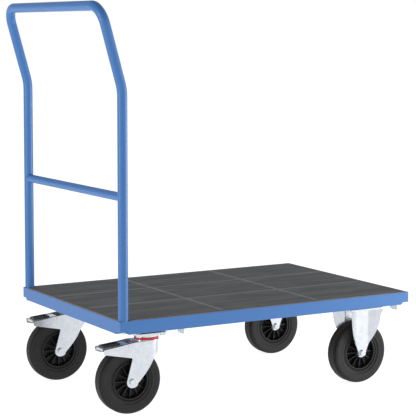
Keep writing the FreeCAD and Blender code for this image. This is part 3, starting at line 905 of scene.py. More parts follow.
@dataclass
class PlatformFrame:
    """Folded rails, welded corners, cross members and stop lugs of the platform."""

    maker: Maker
    wall: float = 3.0
    ledge: float = 28.0
    flange: float = 20.0
    outer_bend: float = 1.6
    top_round: float = 1.0
    upright_round: float = 2.0
    notch: float = 22.0
    notch_height: float = 7.5
    channel_bend: float = 5.0
    channel_inset: float = 52.0
    channel_end: float = 3.5
    lug_width: float = 38.0
    lug_foot: float = 20.0
    lug_foot_wall: float = 2.0
    lug_from_edge: float = 20.0
    lug_bend: float = 4.0
    lug_inner_bend: float = 1.5
    lug_corner: float = 6.0
    lug_edge: float = 0.5

    def rail(self, length: float, bottom: float, top: float) -> Shape:
        """Make a rail.

        Args:
            length: Along +X from the origin.
            bottom: Height of its underside.
            top: Height of its rim.

        Returns:
            The rail, its outer face on y = 0 and its ledge towards +Y.
        """
        wall, shelf = self.wall, Extent.of("deck_board").low.z
        section = [
            (0, bottom), (self.flange, bottom), (self.flange, bottom + wall), (wall, bottom + wall),
            (wall, shelf - wall), (self.ledge, shelf - wall), (self.ledge, shelf), (wall, shelf),
            (wall, top), (0, top)]
        shape = Shape().outline(section).pull(Axis.Y.value * length)
        shape.round_edges(self.outer_bend, 4, wanted=lambda p: p.x < NEAR and p.z < bottom + NEAR)
        shape.round_edges(self.top_round, 3, least=SQUARE, wanted=lambda p: (
            NEAR < p.y < length - NEAR and (p.z > top - NEAR or p.x > wall + NEAR)))
        return shape.move(turn(90, Axis.Z) @ flip(Axis.Y))

    def rails(self) -> None:
        """Make the four rails."""
        side, end, far = (Extent.of(n) for n in ("side_rail_right", "end_rail_rear", "end_rail_front"))
        long_rail = self.rail(side.size.x, side.low.z, side.high.z)
        short_rail = self.rail(end.size.y, end.low.z, end.high.z)
        places = {
            "side_rail_right": (long_rail, shift(side.low.x, side.low.y, 0)),
            "side_rail_left": (long_rail, shift(side.low.x, -side.low.y, 0) @ flip(Axis.Y)),
            "end_rail_rear": (short_rail, shift(end.low.x, end.high.y, 0) @ turn(-90, Axis.Z)),
            "end_rail_front": (short_rail, shift(far.high.x, far.low.y, 0) @ turn(90, Axis.Z))}
        for node, (rail, place) in places.items():
            self.maker.piece(node + "_steel", rail.placed(place), TOP_BODY, "blue_paint", [node])

    def corner(self, size: float, bottom: float, top: float, shelf: float) -> Shape:
        """Make a corner block with a square notch in its lower outer corner.

        Args:
            size: Of its plan, which starts at the origin.
            bottom: Height of its underside.
            top: Height of its rim.
            shelf: Height of its top inside the rim.

        Returns:
            The block, with its outer faces on x = 0 and y = 0.
        """
        low, side, wall = bottom + self.notch_height, self.notch, self.wall
        foot = Shape().slab([
            (side, 0), (size, 0), (size, size), (0, size), (0, side), (side, side)], bottom, low)
        for axis in (Axis.X.value, Axis.Y.value):
            inner = [vert for vert in foot.mesh.verts
                     if vert.co.z < low - NEAR and abs(vert.co.dot(axis) - side) < SMALLEST_GAP]
            bmesh.ops.translate(foot.mesh, verts=inner, vec=axis * self.notch_height)
        corner = self.upright_round
        block = Shape().slab([(0, 0, corner), (size, 0), (size, size), (0, size)], low, shelf)
        if shelf < top:
            rim = [(0, 0, corner), (size, 0), (size, wall), (wall, wall), (wall, size), (0, size)]
            block.join(Shape().slab(rim, shelf, top))
        block.round_edges(self.top_round, 3, least=SQUARE, wanted=lambda p: (
            p.z > top - SMALLEST_GAP and min(p.x, p.y) < corner and max(p.x, p.y) < size - NEAR))
        return block.join(foot)

    def corners(self) -> None:
        """Make the corner blocks at the bow end and at the front."""
        shelf = Extent.of("deck_board").low.z
        for node, sign in (("corner_sockets", 1), ("corner_blocks_front", -1)):
            box = Extent.of(node)
            block = self.corner(box.size.x, box.low.z, box.high.z, box.high.z if sign > 0 else shelf)
            block.move(flip(Axis.X) if sign < 0 else Matrix())
            start = box.low.x if sign > 0 else box.high.x
            pair = Shape().join(block, shift(start, box.low.y, 0))
            pair.join(block, shift(start, box.high.y, 0) @ flip(Axis.Y))
            self.maker.piece(node + "_steel", pair, TOP_BODY, "blue_paint", [node])

    def cross_member(self, node: str) -> None:
        """Make a channel whose ends slant up to the rails.

        Args:
            node: The CAD node it stands for.
        """
        box = Extent.of(node)
        half, wall, low, high = box.size.x / 2, self.wall, box.low.z, box.high.z
        section = [(-half, high), (-half, low), (half, low), (half, high), (half - wall, high),
                   (half - wall, low + wall), (wall - half, low + wall), (wall - half, high)]
        shape = Shape().outline(section).pull(Axis.Y.value * box.size.y)
        shape.round_edges(self.channel_bend, 5, wanted=lambda p: (
            p.z < low + NEAR and abs(p.x) > half - NEAR))
        shape.round_edges(self.channel_bend - wall, 4, wanted=lambda p: (
            abs(p.z - low - wall) < NEAR and abs(p.x) < half - NEAR))
        shape.move(shift(box.middle.x, box.low.y, 0))
        rise = high - low - self.channel_end
        for sign in (1, -1):
            end = Vector((0, sign * box.high.y, high))
            shape.cut(end, Vector((0, sign * rise, -self.channel_inset)), drop=True)
        shape.tidy()
        self.maker.piece(node + "_channel", shape, TOP_BODY, "blue_paint", [node])

    def lugs(self) -> None:
        """Make the four bent stop lugs."""
        box = Extent.of("underframe_lugs")
        wall, drop, foot, under = self.wall, box.size.z, self.lug_foot, self.lug_foot_wall
        sheet = Shape().outline([
            (0, -drop), (wall, -drop), (wall, 0, self.lug_bend), (-foot, 0), (-foot, -under),
            (0, -under, self.lug_inner_bend)])
        sheet.pull(Axis.Y.value * self.lug_width)
        sheet.round_edges(self.lug_corner, 5, least=SQUARE, wanted=lambda p: (
            p.z < NEAR - drop and abs(p.x - wall / 2) < CLOSE))
        sheet.round_edges(self.lug_edge, 2, least=SQUARE)
        group = Shape()
        right, left = box.low.y + self.lug_from_edge, box.high.y - self.lug_from_edge
        for x in (box.low.x + foot, box.high.x - wall):
            group.join(sheet, shift(x, right, box.high.z))
            group.join(sheet, shift(x, left, box.high.z) @ flip(Axis.Y))
        self.maker.piece("underframe_lugs_bent", group, TOP_BODY, "zinc", ["underframe_lugs"])

    def build(self) -> None:
        """Build the frame's pieces."""
        self.rails()
        self.corners()
        self.cross_member("cross_member_rear")
        self.cross_member("cross_member_front")
        self.lugs()


# ---------------------------------------------------------------- deck


@dataclass
class Deck:
    """Plywood board and its film, with grooves for the light strips."""

    maker: Maker
    board_cutout: float = 33.0
    post_clear: float = 16.6
    post_from_end: float = 17.5
    post_from_side: float = 15.2
    corner: float = 2.0
    cutout_corner: float = 1.0
    board_edge: float = 0.8
    groove: float = 0.7
    film_edge: float = 0.35

    def board(self) -> None:
        """Make the board, cut out round the two sockets."""
        box = Extent.of("deck_board")
        x0, x1, y1, reach = box.low.x, box.high.x, box.high.y, self.board_cutout
        shape = Shape().slab(both_sides([
            (x1, y1, self.corner), (x0 + reach, y1), (x0 + reach, y1 - reach, self.cutout_corner),
            (x0, y1 - reach)]), box.low.z, box.high.z, 3)
        shape.round_edges(self.board_edge, 3, least=SQUARE, wanted=lambda p: p.z > box.high.z - CLOSE)
        self.maker.piece("deck_board_ply", shape, TOP_BODY, "board", ["deck_board"])

    def film(self) -> None:
        """Make the film with rounded bites round the posts and sunken grooves."""
        box, grid = Extent.of("deck_mat"), Extent.of("deck_inlay")
        rail = Extent.of("end_rail_rear").low.x
        x0, x1, y1 = box.low.x, box.high.x, box.high.y
        bite_x = rail + self.post_from_end + self.post_clear
        bite_y = Extent.of("side_rail_left").high.y - self.post_from_side - self.post_clear
        shape = Shape().slab(both_sides([
            (x1, y1, self.corner), (bite_x, y1), (bite_x, bite_y, self.post_clear), (x0, bite_y)]),
            box.low.z, box.high.z, 8)
        lines_x, lines_y = self.lines(grid, 0, 1), self.lines(grid, 1, 0)
        for place in (*lines_x, grid.low.x, grid.high.x):
            shape.cut(Axis.X.value * place, Axis.X.value)
        for place in (*lines_y, grid.low.y, grid.high.y):
            shape.cut(Axis.Y.value * place, Axis.Y.value)
        sunk = [face for face in shape.mesh.faces if face.normal.z > LEVEL and self.is_line(
            face.calc_center_median(), grid, lines_x, lines_y)]
        shape.pull(Vector((0, 0, -self.groove)), sunk)
        shape.round_edges(self.film_edge, 2, least=SQUARE, wanted=lambda p: p.z > box.high.z - CLOSE)
        self.maker.piece("deck_mat_film", shape, TOP_BODY, "deck_mat", ["deck_mat"])

    @staticmethod
    def is_line(place: Vector, grid: Extent, lines_x: list[float], lines_y: list[float]) -> bool:
        """Tell whether a place of the film is in a groove.

        Args:
            place: A point.
            grid: The strips' box.
            lines_x: Edges of the cross strips.
            lines_y: Edges of the lengthwise strips.

        Returns:
            True in a groove.
        """
        inside = grid.low.x < place.x < grid.high.x and grid.low.y < place.y < grid.high.y
        pairs = ((place.x, lines_x), (place.y, lines_y))
        return inside and any(e[0] < at < e[1] or e[2] < at < e[3] for at, e in pairs)

    @staticmethod
    def lines(grid: Extent, across: int, along: int) -> list[float]:
        """Edges of the strips that run along one axis, from the strips' own mesh.

        Args:
            grid: The strips' box.
            across: 0 or 1 for the axis that the edges are measured on.
            along: 0 or 1 for the axis that the strips run along.

        Returns:
            Four places, in order.
        """
        points = [vert.co / MILLIMETRE for vert in bpy.data.objects["deck_inlay"].data.vertices]
        ends = [point for point in points if abs(point[along] - grid.low[along]) < CLOSE]
        return sorted({round(point[across], 1) for point in ends})

    def build(self) -> None:
        """Build the board and the film."""
        self.board()
        self.film()


# ---------------------------------------------------------------- push bow


@dataclass
class PushBow:
    """Bent tube bow with a welded crossbar.

    The fillet's pairs are how far each ring of the weld stands off the post and how much wider than
    the crossbar it is.
    """

    maker: Maker
    tube: float = 14.98
    wall: float = 2.0
    bend_height: float = 973.0
    top_height: float = 1215.0
    set_back: float = 68.5
    bend_radius: float = 150.0
    corner_radius: float = 55.0
    crossbar: float = 13.0
    around: int = 40
    bend_steps: int = 6
    corner_steps: int = 18
    foot_gap: float = 0.6
    foot_edge: float = 0.6
    fit_margin: float = 0.3
    fillet: tuple[tuple[float, float], ...] = (
        (-0.6, 2.6), (0.4, 1.7), (1.3, 0.9), (2.6, 0.25), (4.2, 0.0))

    def ring_at(self, shape: Shape, place: Vector, radius: float) -> list[bmesh.types.BMEdge]:
        """Start a tube with a level ring.

        Args:
            shape: Where it is drawn.
            place: Its centre.
            radius: Of the ring.

        Returns:
            Its edges.
        """
        made = bmesh.ops.create_circle(shape.mesh, segments=self.around, radius=radius,
                                       matrix=Matrix.Translation(place))
        return list({edge for vert in made["verts"] for edge in vert.link_edges})

    @staticmethod
    def run(shape: Shape, ring: list[bmesh.types.BMEdge], by: Vector) -> list[bmesh.types.BMEdge]:
        """Carry a ring straight on.

        Args:
            shape: The tube.
            ring: Its last ring.
            by: How far it goes.

        Returns:
            The new ring.
        """
        made = bmesh.ops.extrude_edge_only(shape.mesh, edges=ring)["geom"]
        moved = [item for item in made if isinstance(item, bmesh.types.BMVert)]
        bmesh.ops.translate(shape.mesh, verts=moved, vec=by)
        return [item for item in made if isinstance(item, bmesh.types.BMEdge)]

    def follow(self, shape: Shape, ring: list[bmesh.types.BMEdge], points: list[Vector],
               bends: list[tuple[float, int]]) -> None:
        """Carry a ring along straight runs and round the bends between them.

        Args:
            shape: The tube.
            ring: Its first ring, at the first point.
            points: The corners of the tube's middle line.
            bends: The radius and the number of steps of each bend.
        """
        at = points[0]
        for before, corner, after, (radius, steps) in zip(points, points[1:], points[2:], bends):
            back, ahead = (before - corner).normalized(), (after - corner).normalized()
            half = back.angle(ahead) / 2
            ring = self.run(shape, ring, corner + back * (radius / math.tan(half)) - at)
            centre = corner + (back + ahead).normalized() * (radius / math.sin(half))
            verts = list({vert for edge in ring for vert in edge.verts})
            turned = bmesh.ops.spin(
                shape.mesh, geom=[*verts, *ring], cent=centre, axis=(-back).cross(ahead).normalized(),
                angle=math.pi - 2 * half, steps=steps, use_merge=False, use_duplicate=False)["geom_last"]
            ring = [item for item in turned if isinstance(item, bmesh.types.BMEdge)]
            at = corner + ahead * (radius / math.tan(half))
        self.run(shape, ring, points[-1] - at)

    def bow(self) -> Shape:
        """Make the bow's tube, open at its two feet.

        Returns:
            The tube.
        """
        box = Extent.of("push_bow")
        post = Vector((box.high.x - self.tube, box.low.y + self.tube, box.low.z + self.foot_gap))
        right = [post, Vector((post.x, post.y, self.bend_height)),
                 Vector((post.x - self.set_back, post.y, self.top_height))]
        points = right + [Vector((p.x, -p.y, p.z)) for p in reversed(right)]
        shape = Shape()
        bend = (self.bend_radius, self.bend_steps)
        corner = (self.corner_radius, self.corner_steps)
        self.follow(shape, self.ring_at(shape, post, self.tube), points, [bend, corner, corner, bend])
        bmesh.ops.recalc_face_normals(shape.mesh, faces=shape.mesh.faces)
        bmesh.ops.solidify(shape.mesh, geom=shape.mesh.faces, thickness=self.wall)
        shape.tidy()
        return shape.round_edges(self.foot_edge, 2, least=SQUARE)

    def bar(self) -> Shape:
        """Make the crossbar, its ends fitted to the posts and flared as weld fillets.

        Returns:
            The crossbar.
        """
        height, posts = Extent.of("bow_crossbar").middle.z, Extent.of("push_bow")
        post_x, post_y = posts.high.x - self.tube, posts.high.y - self.tube
        shape = Shape()
        wide = self.tube - self.fit_margin
        rings = [(gap, grow, -1) for gap, grow in self.fillet]
        rings += [(gap, grow, 1) for gap, grow in reversed(self.fillet)]
        ring = self.ring_at(shape, Vector(), 1.0)
        angles = {vert: math.atan2(vert.co.y, vert.co.x) for vert in shape.mesh.verts}
        for gap, grow, sign in rings:
            if gap != rings[0][0] or sign > 0:
                ring = self.run(shape, ring, Vector())
            fresh = {vert for edge in ring for vert in edge.verts}
            for vert in fresh:
                angle = angles.get(vert)
                if angle is None:
                    angle = math.atan2(vert.co.z - height, vert.co.x - post_x)
                radius = self.crossbar + grow
                across = min(abs(radius * math.cos(angle)), wide)
                reach = math.sqrt(self.tube ** 2 - across ** 2) + gap
                vert.co = Vector((post_x + math.copysign(across, math.cos(angle)),
                                  sign * (post_y - reach), height + radius * math.sin(angle)))
            angles = {}
        bmesh.ops.holes_fill(shape.mesh, edges=shape.mesh.edges, sides=0)
        shape.tidy()
        return shape

    def build(self) -> None:
        """Build the bow's pieces."""
        self.maker.piece("push_bow_tube", self.bow(), TOP_BODY, "blue_paint", ["push_bow"])
        self.maker.piece("bow_crossbar_tube", self.bar(), TOP_BODY, "blue_paint", ["bow_crossbar"])


# ---------------------------------------------------------------- wheels


def heading(side: Side) -> float:
    """The angle about Z that a swivel castor stands at, from where its wheel is."""
    trail = Extent.of("tyre_swivel_" + side.word).middle - Extent.of("swivel_plate_" + side.word).middle
    return math.atan2(-trail.y, -trail.x)


def castor_place(side: Side) -> Matrix:
    """The place of a swivel castor built about the Z axis with its trail along -X."""
    pivot = Extent.of("swivel_plate_" + side.word).middle
    return shift(pivot.x, pivot.y, 0) @ Matrix.Rotation(heading(side), 4, "Z")


def wheel_place(kind: str, side: Side) -> Matrix:
    """The place of a wheel built about the Y axis.

    Args:
        kind: "swivel" or "fixed".
        side: Its side of the cart.

    Returns:
        The place.
    """
    place = Matrix.Translation(Extent.of("tyre_" + kind + "_" + side.word).middle)
    return place @ Matrix.Rotation(heading(side), 4, "Z") if kind == "swivel" else place


@dataclass
class Wheel:
    """Solid rubber tyre on a ribbed plastic centre, built about the Y axis.

    The sides are profiles in radius and distance along the axis, each for one half of the wheel.
    """

    maker: Maker
    around: int = 112
    ribs: int = 12
    rib_half: float = 1.6
    rib_edge: float = 0.5
    rib_side: tuple[Corner, ...] = (
        (17.5, -23.5), (20.5, -23.5, 1), (24, -20, 2), (50.5, -14.5, 3), (53, -13.5))
    tyre_side: tuple[Corner, ...] = (
        (60, 19), (61.4, 21.4, 0.7), (63.2, 22.4, 0.6), (64.8, 21.4, 0.6), (69.5, 21.9, 0.8),
        (71.0, 24.2, 0.9), (73.2, 24.5, 0.6), (74.4, 23.9, 0.6), (88.0, 24.9, 3), (93.0, 24.4, 1.6),
        (96.5, 22.8, 1.2), (98.2, 20.9, 0.5), (96.0, 20.2, 0.3), (96.0, 18.4, 0.3),
        (99.2, 17.8, 0.5), (99.5, 16.0, 0.4), (96.8, 15.4, 0.3), (96.8, 13.9, 0.3), (100, 13.2, 0.5))
    centre_side: tuple[Corner, ...] = (
        (15, -27.5), (18.4, -27.5, 0.6), (20.5, -5, 1.2), (23, -3, 1.2), (49.5, -3, 1.2), (52, -6, 1.5),
        (53.2, -22, 0.8), (57.2, -22, 0.8), (59.9, -19.2))

    def spun(self, side: Sequence[Corner], steps: int) -> Shape:
        """Spin a profile together with its mirror image.

        Args:
            side: One side's profile.
            steps: Of the full turn.

        Returns:
            The spun shape.
        """
        return Shape().spin(both_sides(list(side)), steps)

    def centre(self) -> Shape:
        """Make the wheel centre: hub, web, rim with a lip, and tapered ribs on both sides.

        Returns:
            The wheel centre.
        """
        shape = self.spun(self.centre_side, self.around)
        rib = Shape().outline(both_sides(list(self.rib_side)), 3)
        rib.pull(Axis.Y.value * 2 * self.rib_half).move(shift(0, -self.rib_half, 0))
        rib.round_edges(self.rib_edge, 2, least=SHARP).move(turn(-90, Axis.X))
        for step in range(self.ribs):
            shape.join(rib, Matrix.Rotation(math.tau * step / self.ribs, 4, "Y"))
        return shape

    def build(self) -> None:
        """Build the four wheels."""
        parts = (("tyre_", self.spun(self.tyre_side, self.around), "tyre_rubber"),
                 ("wheel_centre_", self.centre(), "black_plastic"))
        for kind, body in (("swivel", "wheel_rear_"), ("fixed", "wheel_front_")):
            for side in Side:
                place = wheel_place(kind, side)
                for node, shape, slot in parts:
                    name = node + kind + "_" + side.word
                    wheel = shape.placed(place)
                    self.maker.piece(name + "_moulding", wheel, body + side.word, slot, [name])


# ---------------------------------------------------------------- castors


def plate(length: float, width: float, low: float, high: float, corner: float = 8.0,
          edge: float = 0.9) -> Shape:
    """Make a level castor plate about the Z axis.

    Args:
        length: Along X.
        width: Along Y.
        low: Height of its underside.
        high: Height of its top.
        corner: Rounding of its corners.
        edge: Rounding of its edges.

    Returns:
        The plate, its corners and edges rounded.
    """
    x, y = length / 2, width / 2
    corners = [(-x, -y, corner), (x, -y, corner), (x, y, corner), (-x, y, corner)]
    return Shape().slab(corners, low, high).round_edges(edge, 2, least=SQUARE)


@dataclass
class FixedCastor:
    """Fixed castor's pressed legs, flared outwards from upright creases, under a plate.

    The leg's outline has heights above the floor, and the leg's top has heights from its upper end.
    """

    maker: Maker
    thickness: float = 3.0
    edge: float = 1.0
    cheek: float = 31.5
    crease: float = 24.0
    flare: float = 37.0
    bend: float = 3.0
    plate_x: float = 130.0
    plate_y: float = 116.0
    plate_z: float = 6.0
    weld: float = 0.5
    leg_outline: tuple[Corner, ...] = (
        (9.6, 89, 1.6), (15.2, 104, 9), (24.5, 129, 13), (45.5, 158, 17), (61.0, 197, 14))
    leg_top: tuple[Corner, ...] = ((64.5, -14, 9), (74.5, 0))

    def leg(self, top: float) -> Shape:
        """Make the leg on the +Y side.

        Args:
            top: Height where it ends in the plate.

        Returns:
            The leg.
        """
        flat = self.crease - self.bend / 2
        curve = PlanCurve(Vector((0, self.cheek, 0)), Axis.X.value, Axis.Y.value,
                          ((flat, 0.0), (self.bend, math.radians(self.flare)), (self.plate_x, 0.0)))
        half = [*self.leg_outline, *((x, top + z, *reach) for x, z, *reach in self.leg_top)]
        shape = Shape().outline(mirrored_outline(half), 6).bend(curve, 4).thicken(self.thickness)
        return shape.round_edges(self.edge, 3, least=SHARP)

    def build(self) -> None:
        """Build both fixed forks."""
        for side in Side:
            node = "fixed_fork_" + side.word
            top = Extent.of(node).high.z
            leg = self.leg(top - self.plate_z + self.weld)
            fork = Shape().join(plate(self.plate_x, self.plate_y, top - self.plate_z, top))
            fork.join(leg).join(leg, flip(Axis.Y))
            wheel = Extent.of("tyre_fixed_" + side.word).middle
            fork.move(shift(wheel.x, wheel.y, 0))
            self.maker.piece(node + "_pressing", fork, TOP_BODY, "zinc", [node])


@dataclass
class SwivelCastor:
    """Swivel castor: pressed fork with a round front, its head, plate, race and seal."""

    maker: Maker
    thickness: float = 3.0
    edge: float = 1.0
    cheek: float = 33.5
    trail: float = 62.0
    roof: float = 218.5
    roof_half: float = 32.6
    roof_length: float = 47.0
    race_gap: float = 10.5
    end: float = 18.2
    plate_x: float = 100.0
    plate_y: float = 85.0
    plate_z: float = 6.0
    around: int = 72

    def fork(self) -> Shape:
        """Make the fork's bent sheet about the swivel axis.

        Returns:
            The fork.
        """
        quarter = self.cheek * math.pi / 2
        curve = PlanCurve(Vector((self.cheek, 0, 0)), Axis.Y.value, -Axis.X.value,
                          ((quarter, math.pi / 2), (200.0, 0.0)))
        hub, end = -self.trail, self.end
        cheek: list[Corner] = [
            (0, 147, 14), (-19, 121, 14), (hub + end - 0.4, 94, 10), (hub + end, 100 - end, end - 1),
            (hub - end, 100 - end, end - 1), (hub - end - 0.2, 101), (-60.5, 171.5, 5), (-153, 190, 3),
            (-155, 204, 4), (-112, 209.5), (-48, self.roof, 6)]
        half: list[Corner] = [(0, 187), (22, 183, 8), (43, 168, 10)]
        half += [(quarter - corner[0], *corner[1:]) for corner in cheek]
        half += [(0, self.roof)]
        shape = Shape().outline(mirrored_outline(half), 6).bend(curve, 10).thicken(self.thickness)
        return shape.round_edges(self.edge, 3, least=SHARP)

    def head(self) -> Shape:
        """Make the roof sheet and bearing disc over the fork.

        Returns:
            Both together.
        """
        low, top, half = self.roof - self.thickness, self.roof, self.roof_half
        shape = Shape().bar(Vector((-self.roof_length, -half, low)), Vector((0, half, top)))
        disc = Shape().spin([
            (7, low), (33, low, 0.5), (34.4, top - 1, 1.2), (38, top, 0.6), (38, top + 3, 0.9),
            (30, top + 3), (28, top + 1.6, 1), (7, top + 1.6)], self.around)
        return shape.join(disc, turn(90, Axis.X))

    def top(self, high: float) -> Shape:
        """Make the mounting plate with the race pressed into it.

        Args:
            high: Height of its top.

        Returns:
            The plate.
        """
        under, race_low = high - self.plate_z, self.roof + self.race_gap
        race = Shape().spin([
            (12, under + 0.5), (12, race_low + 2), (27, race_low + 2, 1), (29, race_low, 0.5),
            (37, race_low, 1.2), (38.4, race_low + 1.8, 0.8), (38.4, under - 1.2, 1), (40, under + 0.5)],
            self.around)
        return plate(self.plate_x, self.plate_y, under, high).join(race, turn(90, Axis.X))

    def seal(self, low: float, high: float) -> Shape:
        """Make the rounded plastic seal between the races.

        Args:
            low: Height of its underside.
            high: Height of its top.

        Returns:
            The seal.
        """
        profile = [(35.6, low), (37.0, low, 0.5), (37.45, (low + high) / 2, 2.5),
                   (37.0, high, 0.5), (35.6, high)]
        return Shape().spin(profile, self.around).move(turn(90, Axis.X))

    def build(self) -> None:
        """Build both swivel castors."""
        fork = self.fork().join(self.head())
        ring = Extent.of("swivel_seal_right")
        top, seal = self.top(Extent.of("swivel_plate_right").high.z), self.seal(ring.low.z, ring.high.z)
        for side in Side:
            place = castor_place(side)
            still = Matrix.Translation(place.translation)
            for node, shape, body, slot, where in (
                    ("swivel_fork_", fork, "castor_" + side.word, "zinc", place),
                    ("swivel_plate_", top, TOP_BODY, "zinc", still),
                    ("swivel_seal_", seal, TOP_BODY, "red_seal", still)):
                name = node + side.word
                self.maker.piece(name + "_pressing", shape.placed(where), body, slot, [name])


@dataclass
class Brake:
    """Foot brake: bent sheet pedal with a barrel, and its ribbed rubber tread.

    Places are those of a castor built about the Z axis with its trail along -X.
    """

    maker: Maker
    half: float = 22.5
    barrel: float = 6.0
    barrel_bore: float = 3.6
    barrel_edge: float = 0.6
    pin: Triple = (-70.0, 0.0, 208.0)
    toe_corner: float = 4.0
    sheet_edge: float = 0.6
    slope: float = 5.8
    rim: float = 5.0
    rib_half: float = 1.3
    rib_top: float = -2.5
    rib_count: int = 4
    tread_low: float = -4.9
    tread_half: float = 19.0
    tread_length: float = 54.0
    tread_edge: float = 0.7
    tread_start: Triple = (-148.0, 0.0, 211.4)

    def pedal(self) -> Shape:
        """Make the pedal.

        Returns:
            The pedal's sheet and barrel.
        """
        toe, toe_back, toe_low = -154.0, -151.6, 199.2
        sheet = Shape().outline([
            (toe, 206.0, 3), (-142, 207.5, 6), (-82, 213.5, 6), (-69.5, 214), (-69.5, 211.5),
            (-82, 211, 6), (-142, 205, 5), (toe_back, 203.8, 1.5), (toe_back, toe_low), (toe, toe_low)], 4)
        sheet.pull(Axis.Y.value * 2 * self.half).move(shift(0, -self.half, 0))
        sheet.round_edges(self.toe_corner, 4, least=SQUARE, wanted=lambda p: (
            p.z < toe_low + NEAR and abs(p.x - (toe + toe_back) / 2) < CLOSE))
        sheet.round_edges(self.sheet_edge, 2, least=SQUARE)
        bmesh.ops.dissolve_degenerate(sheet.mesh, dist=SMALLEST_GAP, edges=sheet.mesh.edges)
        inner, outer, edge = self.barrel_bore, self.barrel, self.barrel_edge
        tube = Shape().spin([
            (inner, -self.half), (outer, -self.half, edge), (outer, self.half, edge),
            (inner, self.half)], 32)
        return sheet.join(tube, shift(*self.pin))

    def tread(self) -> Shape:
        """Make the tread: a frame with ribs across its opening.

        Returns:
            The tread, in its place on the pedal.
        """
        half, length, rim = self.tread_half, self.tread_length, self.rim
        frame = Shape()
        for x in (0.0, length - rim):
            frame.bar(Vector((x, -half, self.tread_low)), Vector((x + rim, half, 0)))
        for y in (-half, half - rim):
            frame.bar(Vector((rim, y, self.tread_low)), Vector((length - rim, y + rim, 0)))
        pitch = (length - 2 * rim) / (self.rib_count + 1)
        for step in range(self.rib_count):
            x = rim + (step + 1) * pitch
            frame.bar(Vector((x - self.rib_half, rim - half, self.tread_low)),
                      Vector((x + self.rib_half, half - rim, self.rib_top)))
        frame.round_edges(self.tread_edge, 3, least=SQUARE)
        return frame.move(shift(*self.tread_start) @ turn(-self.slope, Axis.Y))

    def build(self) -> None:
        """Build both brakes' pedals and treads."""
        parts = (("brake_pedal_", self.pedal(), "zinc"), ("brake_pad_", self.tread(), "pedal_rubber"))
        for side in Side:
            for node, shape, slot in parts:
                name, placed = node + side.word, shape.placed(castor_place(side))
                self.maker.piece(name + "_formed", placed, "brake_" + side.word, slot, [name])


@dataclass
class Fixings:
    """Castor bolts with their nuts, and the wheels' axle bolts with theirs."""

    maker: Maker
    along: float = 40.0
    across: float = 30.0
    plate_z: float = 6.0
    castor_flats: float = 16.0
    castor_head: float = 5.5
    castor_nut: float = 8.0
    shank: float = 5.0
    shank_length: float = 20.0
    shank_edge: float = 0.8
    axle: float = 6.0
    axle_flats: float = 18.0
    axle_head: float = 7.0
    axle_nut: float = 10.0
    axle_past_cheek: float = 14.0
    swivel_cheek: float = 35.0
    fixed_cheek: float = 33.0
    chamfer_share: float = 0.06
    edge: float = 0.35
    channel: float = 3.0

    def hexagon(self, flats: float, height: float) -> Shape:
        """Make a chamfered hexagon, standing on z = 0.

        Args:
            flats: Width across its flats.
            height: From the seat to its top.

        Returns:
            The hexagon.
        """
        shape, chamfer = Shape(), flats * self.chamfer_share
        bmesh.ops.create_circle(shape.mesh, cap_ends=True, segments=6, radius=flats / math.sqrt(3))
        shape.pull(Axis.Z.value * (height - chamfer / 2))
        top = [face for face in shape.mesh.faces
               if face.calc_center_median().z > height / 2 and face.normal.z > LEVEL]
        bmesh.ops.inset_region(shape.mesh, faces=top, thickness=chamfer, depth=chamfer / 2)
        return shape.round_edges(self.edge, 2, least=SHARP)

    def castor_sets(self) -> None:
        """Make the castors' bolts and nuts."""
        head = self.hexagon(self.castor_flats, self.castor_head)
        nut = self.hexagon(self.castor_flats, self.castor_nut)
        shank = Shape()
        bmesh.ops.create_cone(shank.mesh, cap_ends=True, segments=20, radius1=self.shank,
                              radius2=self.shank, depth=self.shank_length)
        shank.move(shift(0, 0, self.shank_length / 2)).round_edges(self.shank_edge, 2, least=SQUARE)
        bolts, nuts = Shape(), Shape()
        for side in Side:
            swivel, fixed = (Extent.of(n + side.word) for n in ("swivel_plate_", "fixed_fork_"))
            for centre, top in ((swivel.middle, swivel.high.z), (fixed.middle, fixed.high.z)):
                for x in (-self.along, self.along):
                    for y in (-self.across, self.across):
                        under = shift(centre.x + x, centre.y + y, top - self.plate_z)
                        bolts.join(head, under @ turn(180, Axis.X)).join(shank, under)
                        nuts.join(nut, shift(centre.x + x, centre.y + y, top + self.channel))
        self.maker.piece("castor_bolts_m10", bolts, TOP_BODY, "zinc", ["castor_bolts"])
        self.maker.piece("castor_nuts_m10", nuts, TOP_BODY, "zinc", ["castor_nuts"])

    def axle_sets(self) -> None:
        """Make the axle bolts and nuts, the fixed castors' in pairs."""
        pairs = {"bolt": Shape(), "nut": Shape()}
        head = self.hexagon(self.axle_flats, self.axle_head)
        hexagon = self.hexagon(self.axle_flats, self.axle_nut)
        for kind, cheek in (("swivel", self.swivel_cheek), ("fixed", self.fixed_cheek)):
            tip = cheek + self.axle_past_cheek
            bolt = Shape().join(head, shift(0, -cheek, 0) @ turn(90, Axis.X))
            bolt.spin([(0.01, -cheek), (self.axle, -cheek), (self.axle, tip, self.shank_edge),
                       (0.01, tip)], 28)
            nut = Shape().join(hexagon, shift(0, cheek, 0) @ turn(-90, Axis.X))
            for side in Side:
                place = wheel_place(kind, side)
                for part, shape in (("bolt", bolt), ("nut", nut)):
                    if kind == "fixed":
                        pairs[part].join(shape, place)
                        continue
                    name, placed = "axle_" + part + "_" + side.word, shape.placed(place)
                    self.maker.piece(name + "_m12", placed, "castor_" + side.word, "zinc", [name])
        for part, shape in pairs.items():
            name = "fixed_axle_" + part + "s"
            self.maker.piece(name + "_m12", shape, TOP_BODY, "zinc", [name])

    def build(self) -> None:
        """Build all bolts and nuts."""
        self.castor_sets()
        self.axle_sets()


# ---------------------------------------------------------------- studio and camera


